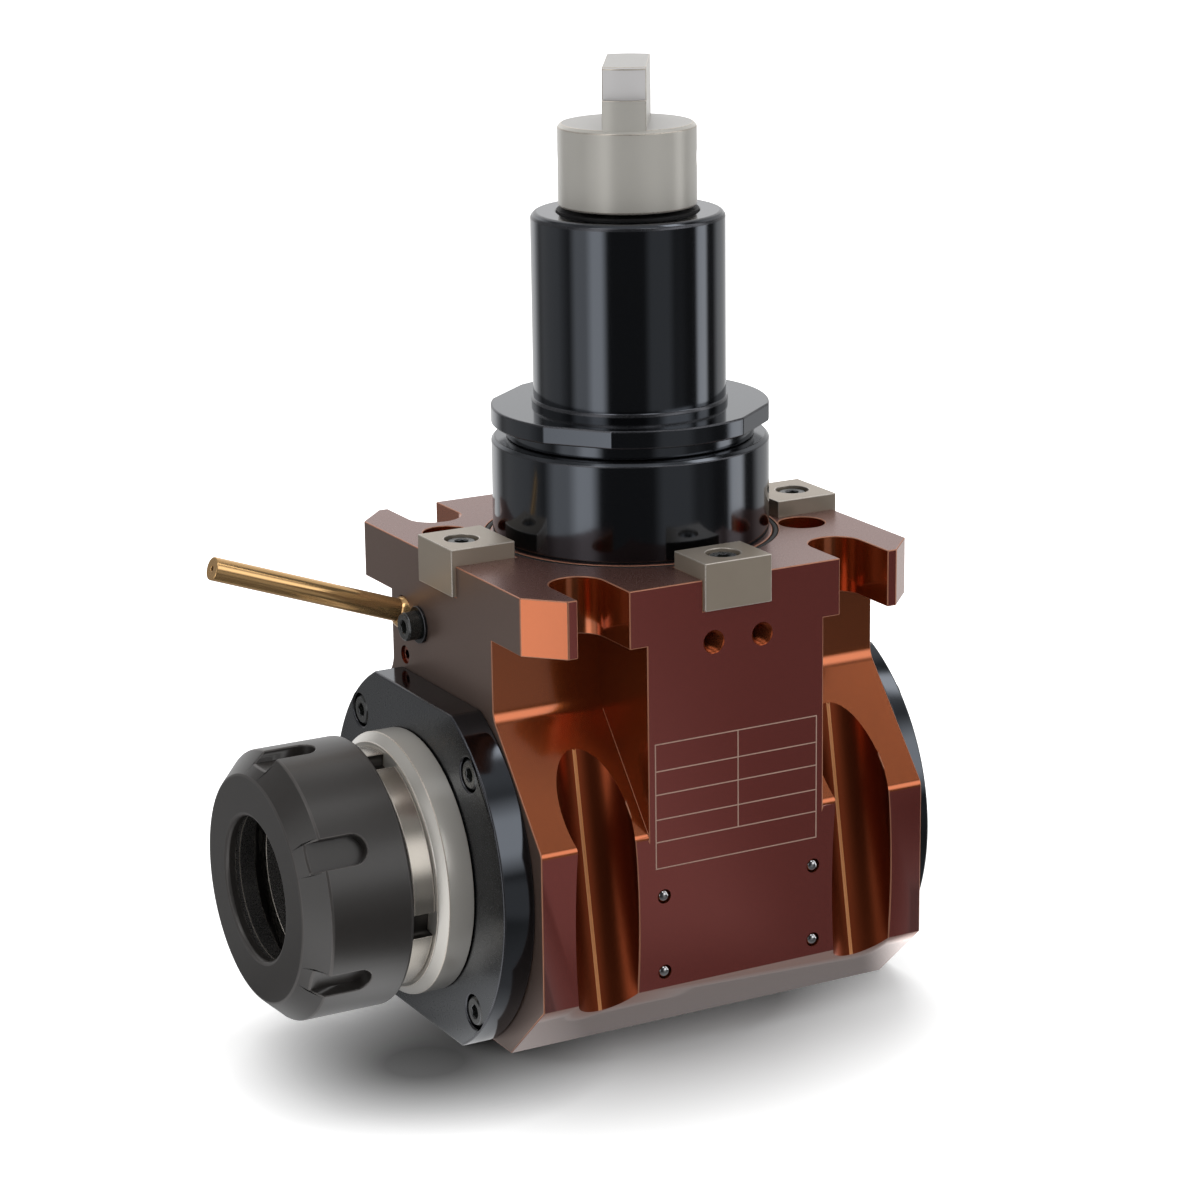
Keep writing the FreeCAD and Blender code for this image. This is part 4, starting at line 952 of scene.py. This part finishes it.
def makeSpindle(s):
    back, front = sorted(-x for x in span("labyrinth_ring", 0))
    nose, band, edge = s["noseFace"], s["band"], s["bandEdge"]
    bandFront = nose - s["threadLength"]
    small = s["mouth"] - s["taperDepth"] * math.tan(math.radians(s["taperAngle"]))
    taperEnd = nose - s["taperDepth"]
    boreEnd = taperEnd - s["boreDepth"]
    point = s["bore"] / math.tan(math.radians(s["drillPoint"]))
    outline = [
        (0, s["rearEnd"]), (s["rearSeat"], s["rearEnd"]), (s["rearSeat"], s["rearStart"]),
        (s["tail"], s["rearStart"]), (s["tail"], s["nutStart"] - s["tailEdge"]),
        (s["gearThread"], s["nutStart"]), (s["gearThread"], s["gearFront"]), (s["gearSeat"], s["gearFront"]),
        (s["gearSeat"], s["gearBack"]), (s["frontSeat"], s["gearBack"]), (s["frontSeat"], s["frontEnd"]),
        (s["sealLand"], s["frontEnd"]), (s["sealLand"], back), (s["ringSeat"], back), (s["ringSeat"], front),
        (band - edge, front), (band, front + edge), (band, bandFront - edge), (band - edge, bandFront),
        (s["relief"], bandFront), (s["relief"], bandFront + s["reliefLength"])]
    outline += nutThread(s, bandFront + s["runIn"])
    outline += [(s["crest"] - s["noseEdge"], nose), (s["mouth"], nose), (small, taperEnd),
                (s["bore"], taperEnd), (s["bore"], boreEnd), (0, boreEnd - point)]
    body = lathe("spindle", outline, 256)
    half = s["notchWidth"] / 2
    # the notches' faces take the painted shade finish
    notches = [spun(block(band - s["notchDepth"], band + 2, -half, half, front - 0.2, bandFront + 0.2,
                          notchShadeFinish), s["notchTurn"] + 90 * i) for i in range(4)]
    keySeat = block(s["keyFloor"] - s["play"], s["keyFloor"] + s["keyHeight"] + s["play"], -s["keyHalf"],
                    s["keyHalf"], s["gearBack"] - s["keyLength"] - s["play"], s["gearBack"])
    dress(body, "turned_steel", "bright_steel_edge", "taper_steel", "notch_floor_shaded")
    carve(body, notches + [keySeat])
    for face in body.data.polygons:
        if math.hypot(face.center.x, face.center.y) < s["mouth"] and face.center.z > boreEnd - point:
            face.material_index = taperFinish
    breakEdges(body, s["edge"], 2, 25)
    fitPiece(body, "collet_spindle", "spindle", ["spindle"], onOutput)


makeRing(ring)
makeSpindle(spindle)
print("spindle and rings turned")


# Collet nut with six spanner slots, and the ring inside it

nut = {"threadBore": 25.05, "radius": 31.5, "face": 26.5, "taper": 5.3, "mouth": 16.8,
       "mouthEdge": 0.6, "lip": 2.6, "ringBore": 23.65, "ringWidth": 6.0, "ringPlay": 0.4, "slots": 6,
       "slotWidth": 6.8, "slotLength": 16.0, "slotDepth": 2.8, "backEdge": 0.5, "edge": 0.4}
pullRing = {"radius": 23.6, "mouth": 17.6, "back": 20.0, "mouthEdge": 1.2, "edge": 0.15}


def makeNut(size):
    back, front = sorted(-x for x in span("collet_nut", 0))
    bore, radius, mouth = size["threadBore"], size["radius"], size["mouth"]
    lip = front - size["lip"]
    pocket = lip - size["ringWidth"] - size["ringPlay"]
    body = lathe("nut", [
        (bore, back), (radius - size["backEdge"], back), (radius, back + size["backEdge"]),
        (radius, front - size["taper"]), (size["face"], front), (mouth + size["mouthEdge"], front),
        (mouth, front - size["mouthEdge"]), (mouth, lip), (size["ringBore"], lip), (size["ringBore"], pocket),
        (bore, pocket - 1)], 240)
    floor = radius - size["slotDepth"]
    half = size["slotWidth"] / 2
    end = front - size["slotLength"] + half
    outline = arc(half, 180, 360, 32, (0, end)) + [(half, front + 1), (-half, front + 1)]
    carve(body, [spun(prism("slot", outline, floor, radius + 2, extrudedAlongX), 360 / size["slots"] * i)
                 for i in range(size["slots"])])
    dress(body, "phosphate_nut", "phosphate_edge")
    breakEdges(body, size["edge"], 3, 25)
    fitPiece(body, "six_slot_nut", "nut", ["collet_nut"], onOutput)


def makePullRing(size):
    # its rim in the mouth holds the collet's groove
    back, front = sorted(-x for x in span("nut_inner_ring", 0))
    radius, mouth = size["radius"], size["mouth"]
    body = lathe("pullRing", [(size["back"], back), (radius, back), (radius, front), (mouth, front),
                              (mouth, front - size["mouthEdge"])], 200)
    dress(body, "taper_steel", "bright_steel_edge")
    breakEdges(body, size["edge"], 2, 25)
    fitPiece(body, "nut_pull_ring", "nut_ring", ["nut_inner_ring"], onOutput)


makeNut(nut)
makePullRing(pullRing)
print("nut slotted")


# Coolant nozzle, its clamp and the plug under it

nozzle = {"ballRadius": 4.2, "ballEdge": 0.1, "inset": 1.0, "tubeRadius": 2.75, "play": 0.02, "bore": 1.6,
          "tubeStart": 0.9, "length": 51.9, "rise": 19.8, "seat": 0.8, "outlet": 0.6, "wall": 2.5,
          "edge": 0.25}
clamp = {"washer": 4.4, "washerThick": 0.8, "washerPlay": 0.15, "edge": 0.15, "screwLength": 10.8,
         "plugRadius": 2.2, "plugLength": 6.0, "plugAcross": 2.0, "plugSink": 0.5, "plugSocket": 2.5}
clampScrew = {"shank": 2.0, "head": 3.4, "height": 3.5, "across": 3.0}


def makeNozzle(s):
    left = -housing["halfX"]
    centre = Vector((left + s["inset"], housing["nozzleY"], -housing["nozzleDrop"]))
    rise = math.radians(s["rise"])
    direction = (-math.cos(rise), 0, math.sin(rise))
    throat = s["tubeRadius"] + s["play"]
    low = math.degrees(math.acos(s["bore"] / s["ballRadius"]))
    high = math.degrees(math.acos(throat / s["ballRadius"]))
    section = arc(s["ballRadius"], -low, high, 40) + [(throat, s["seat"]), (s["bore"], s["seat"])]
    ball = lathe("ball", section, 96)
    dress(ball, "drawn_brass", "drawn_brass")
    breakEdges(ball, s["ballEdge"], 2, 35)
    fitPiece(aimed(ball, centre, direction), "nozzle_ball_joint", "nozzle", ["nozzle_ball"])

    inner = s["length"] - s["wall"]
    pipe = lathe("pipe", [(s["bore"], s["tubeStart"]), (s["tubeRadius"], s["tubeStart"]),
                          (s["tubeRadius"], s["length"]), (s["outlet"], s["length"]), (s["outlet"], inner),
                          (s["bore"], inner)], 96)
    dress(pipe, "drawn_brass", "drawn_brass")
    breakEdges(pipe, s["edge"], 2, 35)
    turn = Matrix.Rotation(math.radians(-90 + s["rise"]), 4, "Y")
    fitPiece(pipe, "nozzle_pipe", "nozzle", ["nozzle_tube"], Matrix.Translation(centre) @ turn)


def makeClamp(s):
    left = -housing["halfX"]
    outwards = (-1, 0, 0)
    start = (left, housing["clampY"], -housing["clampDrop"])
    hole = screwM4["shank"] + s["washerPlay"]
    washer = lathe("washer", [(hole, 0), (s["washer"], 0), (s["washer"], s["washerThick"]),
                              (hole, s["washerThick"])], 96)
    dress(washer, "washer_zinc", "screw_edge")
    breakEdges(washer, s["edge"])
    fitPiece(aimed(washer, start, outwards), "clamp_disc", "casing", ["clamp_washer"])
    screw = capScrew(clampScrew, s["screwLength"])
    seat = (left - s["washerThick"], housing["clampY"], -housing["clampDrop"])
    fitPiece(aimed(screw, seat, outwards), "clamp_cap_screw", "casing", ["clamp_screw"])

    plug = rod(s["plugRadius"], -s["plugLength"], 0, segments=64)
    carve(plug, [prism("socket", hexagon(s["plugAcross"]), -s["plugSocket"], 1)])
    dress(plug, "copper_plug", "copper_plug")
    breakEdges(plug, s["edge"])
    mouth = (left + s["plugSink"], housing["plugY"], -housing["plugDrop"])
    fitPiece(aimed(plug, mouth, outwards), "gallery_screw_plug", "casing", ["gallery_plug"])


def makeBalls(radius, front):
    balls = []
    for x in housing["ballX"]:
        for drop in housing["ballDrops"]:
            ball = lathe("ball", [(0, -radius)] + arc(radius, -86, 86, 42) + [(0, radius)], 64)
            ball.data.transform(Matrix.Translation((x, front + housing["ballInset"], -drop)))
            balls.append(ball)
    plugs = dress(joined(balls), "ball_steel")
    fitPiece(plugs, "pressed_balls", "casing", ["sealing_balls"])


makeNozzle(nozzle)
makeClamp(clamp)
makeBalls(housing["ballRadius"], -housing["halfY"])
print("nozzle clamped")


# Inner pieces keep the frame's own shapes and get their finishes here

innerFinish = {
    "bearing_steel": ("lower_bearing", "upper_bearing", "front_bearing", "rear_bearing", "circlip"),
    "gear_steel": ("input_shaft", "output_gear", "gear_key", "gear_locknut", "input_locknut"),
    "seal_rubber": ("upper_seal", "front_seal", "rear_seal"),
}
for finish, starts in innerFinish.items():
    for name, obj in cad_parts.items():
        if name.startswith(starts):
            obj.data.materials.clear()
            obj.data.materials.append(finishes[finish])
print("inner pieces finished")


# Studio: a white floor and sweep with a painted shadow round the object, and panels that only show in
# reflections

studio = {"floorSize": 6000, "floorShade": "#e6e6e6", "floorLift": 1.3, "ambient": 0.5,
          "heart": (0, 0, -0.05),      # in metres, the place that the reflections are laid out from
          "lampAim": (0, 0, -60)}
# the white sweep starts outside an oval round the object, which paints the soft edge of its shadow, and a
# painted shadow spot lies under the nut's flange
sweep = {"middle": (-14, -20), "reach": (92, 70), "from": 0.42, "to": 1.0, "glow": 0.52, "farTo": 8.0,
         "farGlow": 1.0}
shadowSpot = {"middle": (-70, -26), "reach": (26, 24), "from": 0.35, "to": 1.75, "share": 0.2}
allRound = (-180, 180)
panels = {
    # azimuths, heights above the horizon and blur in degrees, radiance
    "surroundings": (allRound, (-90, 90), 1, 0.05),
    "left rear": ((112, 160), (-90, 60), 10, 0.3),
    "top": (allRound, (64, 100), 8, 0.5),
    "near floor": (allRound, (-100, -34), 14, 0.27),
    "left floor": ((190, 218), (-75, -34), 8, 0.6),
    "dim front": ((270, 309), (-40, -3), 5, 0.13),
    "dim strip": ((263, 292), (-30, 30), 4, 0.27),
    "upper front": ((285, 345), (42, 66), 8, 0.36),
    "back right": ((4, 44), (-28, 60), 6, 0.6),
    "back": ((40, 104), (-28, 60), 8, 1.0),
    "left wing": ((172, 198), (-42, 40), 5, 0.7),
    "left": ((194, 213), (-42, 42), 4, 1.6),
    "right strip": ((328, 345), (-45, 50), 3, 1.8),
    "front box": ((280, 318), (6, 36), 6, 1.7),
    "left cap": ((180, 213), (46, 70), 3, 2.8),
    "middle cap": ((263, 292), (48, 70), 3, 2.4),
    "right cap": ((328, 346), (48, 70), 3, 2.8),
}
lamps = (
    # name, place, width, height, radiance; they light floor and surfaces and stay out of reflections
    ("overhead", (160, 330, 560), 520, 420, 4.0),
)


def withinBand(tree, angle, middle, half, blur):
    # 1 inside the band and 0 outside, the angle wrapped round the circle
    away = addNode(tree, "ShaderNodeMath", {"operation": "SUBTRACT", 0: angle, 1: middle}).outputs[0]
    away = addNode(tree, "ShaderNodeMath", {"operation": "WRAP", 0: away, 1: math.pi, 2: -math.pi}).outputs[0]
    away = addNode(tree, "ShaderNodeMath", {"operation": "ABSOLUTE", 0: away}).outputs[0]
    return addNode(tree, "ShaderNodeMapRange", {"Value": away, "From Min": half - blur,
                                                "From Max": half + blur, "To Min": 1.0,
                                                "To Max": 0.0}).outputs[0]


def reflectedRadiance(tree, direction):
    # what a polished surface sees in a direction, each panel laid over those before it
    parts = addNode(tree, "ShaderNodeSeparateXYZ", {0: direction}).outputs
    x, y, z = parts["X"], parts["Y"], parts["Z"]
    azimuth = addNode(tree, "ShaderNodeMath", {"operation": "ARCTAN2", 0: y, 1: x}).outputs[0]
    height = addNode(tree, "ShaderNodeMath", {"operation": "ARCSINE", 0: z}).outputs[0]
    radiance = 0.0
    for azimuths, heights, blur, strength in panels.values():
        low, high, bottom, top, soft = (math.radians(v) for v in azimuths + heights + (blur,))
        across = 1.0
        if azimuths != allRound:
            across = withinBand(tree, azimuth, (low + high) / 2, (high - low) / 2, soft)
        up = withinBand(tree, height, (bottom + top) / 2, (top - bottom) / 2, soft)
        share = addNode(tree, "ShaderNodeMath", {"operation": "MULTIPLY", 0: across, 1: up}).outputs[0]
        step = addNode(tree, "ShaderNodeMath", {"operation": "SUBTRACT", 0: strength, 1: radiance}).outputs[0]
        radiance = addNode(tree, "ShaderNodeMath", {"operation": "MULTIPLY_ADD", 0: share, 1: step,
                                                    2: radiance}).outputs[0]
    return radiance


def ovalDistance(tree, place, oval):
    # 1 on the oval's border, from its middle outwards
    (x, y), (reachX, reachY) = oval["middle"], oval["reach"]
    middle, inverse = (x * mm, y * mm, 0), (1 / (reachX * mm), 1 / (reachY * mm), 0)
    away = addNode(tree, "ShaderNodeVectorMath", {"operation": "SUBTRACT", 0: place, 1: middle}).outputs[0]
    away = addNode(tree, "ShaderNodeVectorMath", {"operation": "MULTIPLY", 0: away, 1: inverse}).outputs[0]
    return addNode(tree, "ShaderNodeVectorMath", {"operation": "LENGTH", 0: away}).outputs["Value"]


def makeFloor(setting):
    half = setting["floorSize"] / 2
    level = span("housing", 2)[0]
    floor = makeObject("floor", [(-half, -half, level), (half, -half, level), (half, half, level),
                                 (-half, half, level)], [(0, 1, 2, 3)])
    floor.data.transform(Matrix.Scale(mm, 4))
    material = bpy.data.materials.new("studio_floor")
    material.use_nodes = True
    tree = material.node_tree
    tree.nodes.clear()
    path = addNode(tree, "ShaderNodeLightPath", {}).outputs
    toCamera, glossy = path["Is Camera Ray"], path["Is Glossy Ray"]
    place = addNode(tree, "ShaderNodeNewGeometry", {}).outputs["Position"]

    # the lit floor, a little lifted for the eye, with a painted shadow in the contact spot
    shadowShare = addNode(tree, "ShaderNodeMapRange", {"Value": ovalDistance(tree, place, shadowSpot),
                                                "From Min": shadowSpot["from"], "From Max": shadowSpot["to"],
                                                "To Min": shadowSpot["share"], "To Max": 1.0}).outputs[0]
    lift = addNode(tree, "ShaderNodeMath", {"operation": "MULTIPLY_ADD", 0: toCamera,
                                            1: setting["floorLift"] - 1, 2: 1.0}).outputs[0]
    lift = addNode(tree, "ShaderNodeMath", {"operation": "MULTIPLY", 0: lift, 1: shadowShare}).outputs[0]
    shade = addNode(tree, "ShaderNodeVectorMath", {"operation": "SCALE", "Scale": lift,
                                                   0: hexToLinear(setting["floorShade"])[:3]}).outputs[0]
    lit = addNode(tree, "ShaderNodeBsdfDiffuse", {"Color": shade}).outputs[0]

    # the white sweep over it, which only the camera sees; its ramp outwards from the object paints part of the
    # shadow's soft edge, and it is held back in the painted shadow spot
    far = ovalDistance(tree, place, sweep)
    near = addNode(tree, "ShaderNodeMapRange", {"Value": far, "From Min": sweep["from"],
                                                "From Max": sweep["to"], "To Min": 0.0,
                                                "To Max": sweep["glow"]}).outputs[0]
    glow = addNode(tree, "ShaderNodeMapRange", {"Value": far, "From Min": sweep["to"],
                                                "From Max": sweep["farTo"], "To Min": 0.0,
                                                "To Max": sweep["farGlow"] - sweep["glow"]}).outputs[0]
    glow = addNode(tree, "ShaderNodeMath", {"operation": "ADD", 0: near, 1: glow}).outputs[0]
    glow = addNode(tree, "ShaderNodeMath", {"operation": "MULTIPLY", 0: glow, 1: shadowShare}).outputs[0]
    glow = addNode(tree, "ShaderNodeMath", {"operation": "MULTIPLY", 0: glow, 1: toCamera}).outputs[0]
    white = addNode(tree, "ShaderNodeEmission", {"Strength": glow}).outputs[0]
    plain = addNode(tree, "ShaderNodeAddShader", {0: lit, 1: white}).outputs[0]

    # in reflections the floor shows the panels that lie below the horizon
    heart = setting["heart"]
    away = addNode(tree, "ShaderNodeVectorMath", {"operation": "SUBTRACT", 0: place, 1: heart}).outputs[0]
    direction = addNode(tree, "ShaderNodeVectorMath", {"operation": "NORMALIZE", 0: away}).outputs[0]
    radiance = reflectedRadiance(tree, direction)
    mirrored = addNode(tree, "ShaderNodeEmission", {"Strength": radiance}).outputs[0]
    mixed = addNode(tree, "ShaderNodeMixShader", {0: glossy, 1: plain, 2: mirrored}).outputs[0]
    addNode(tree, "ShaderNodeOutputMaterial", {"Surface": mixed})
    floor.data.materials.append(material)


def lightWorld(setting):
    world = bpy.data.worlds.new("studio")
    world.use_nodes = True
    scene.world = world
    tree = world.node_tree
    tree.nodes.clear()
    path = addNode(tree, "ShaderNodeLightPath", {}).outputs
    direction = addNode(tree, "ShaderNodeTexCoord", {}).outputs["Generated"]
    seen = reflectedRadiance(tree, direction)
    soft = addNode(tree, "ShaderNodeMix", {"data_type": "FLOAT", 0: path["Is Diffuse Ray"], 2: seen,
                                           3: setting["ambient"]}).outputs[0]
    strength = addNode(tree, "ShaderNodeMix", {"data_type": "FLOAT", 0: path["Is Camera Ray"], 2: soft,
                                               3: 1.0}).outputs[0]
    background = addNode(tree, "ShaderNodeBackground", {"Color": (1, 1, 1, 1), "Strength": strength})
    addNode(tree, "ShaderNodeOutputWorld", {"Surface": background.outputs[0]})


def placeLamps(setting):
    centre = Vector(setting["lampAim"])
    for name, place, width, height, radiance in lamps:
        data = bpy.data.lights.new(name, "AREA")
        data.shape = "RECTANGLE"
        data.size = width * mm
        data.size_y = height * mm
        data.energy = radiance * math.pi * data.size * data.size_y
        lamp = bpy.data.objects.new(name, data)
        lamp.location = Vector(place) * mm
        lamp.rotation_euler = (Vector(place) - centre).to_track_quat("Z", "Y").to_euler()
        lamp.visible_camera = False
        lamp.visible_glossy = False
        scene.collection.objects.link(lamp)


makeFloor(studio)
lightWorld(studio)
placeLamps(studio)
scene.view_settings.view_transform = "Standard"
scene.cycles.caustics_reflective = False      # light glancing off the dyed metal tints no white floor
print("studio lit")
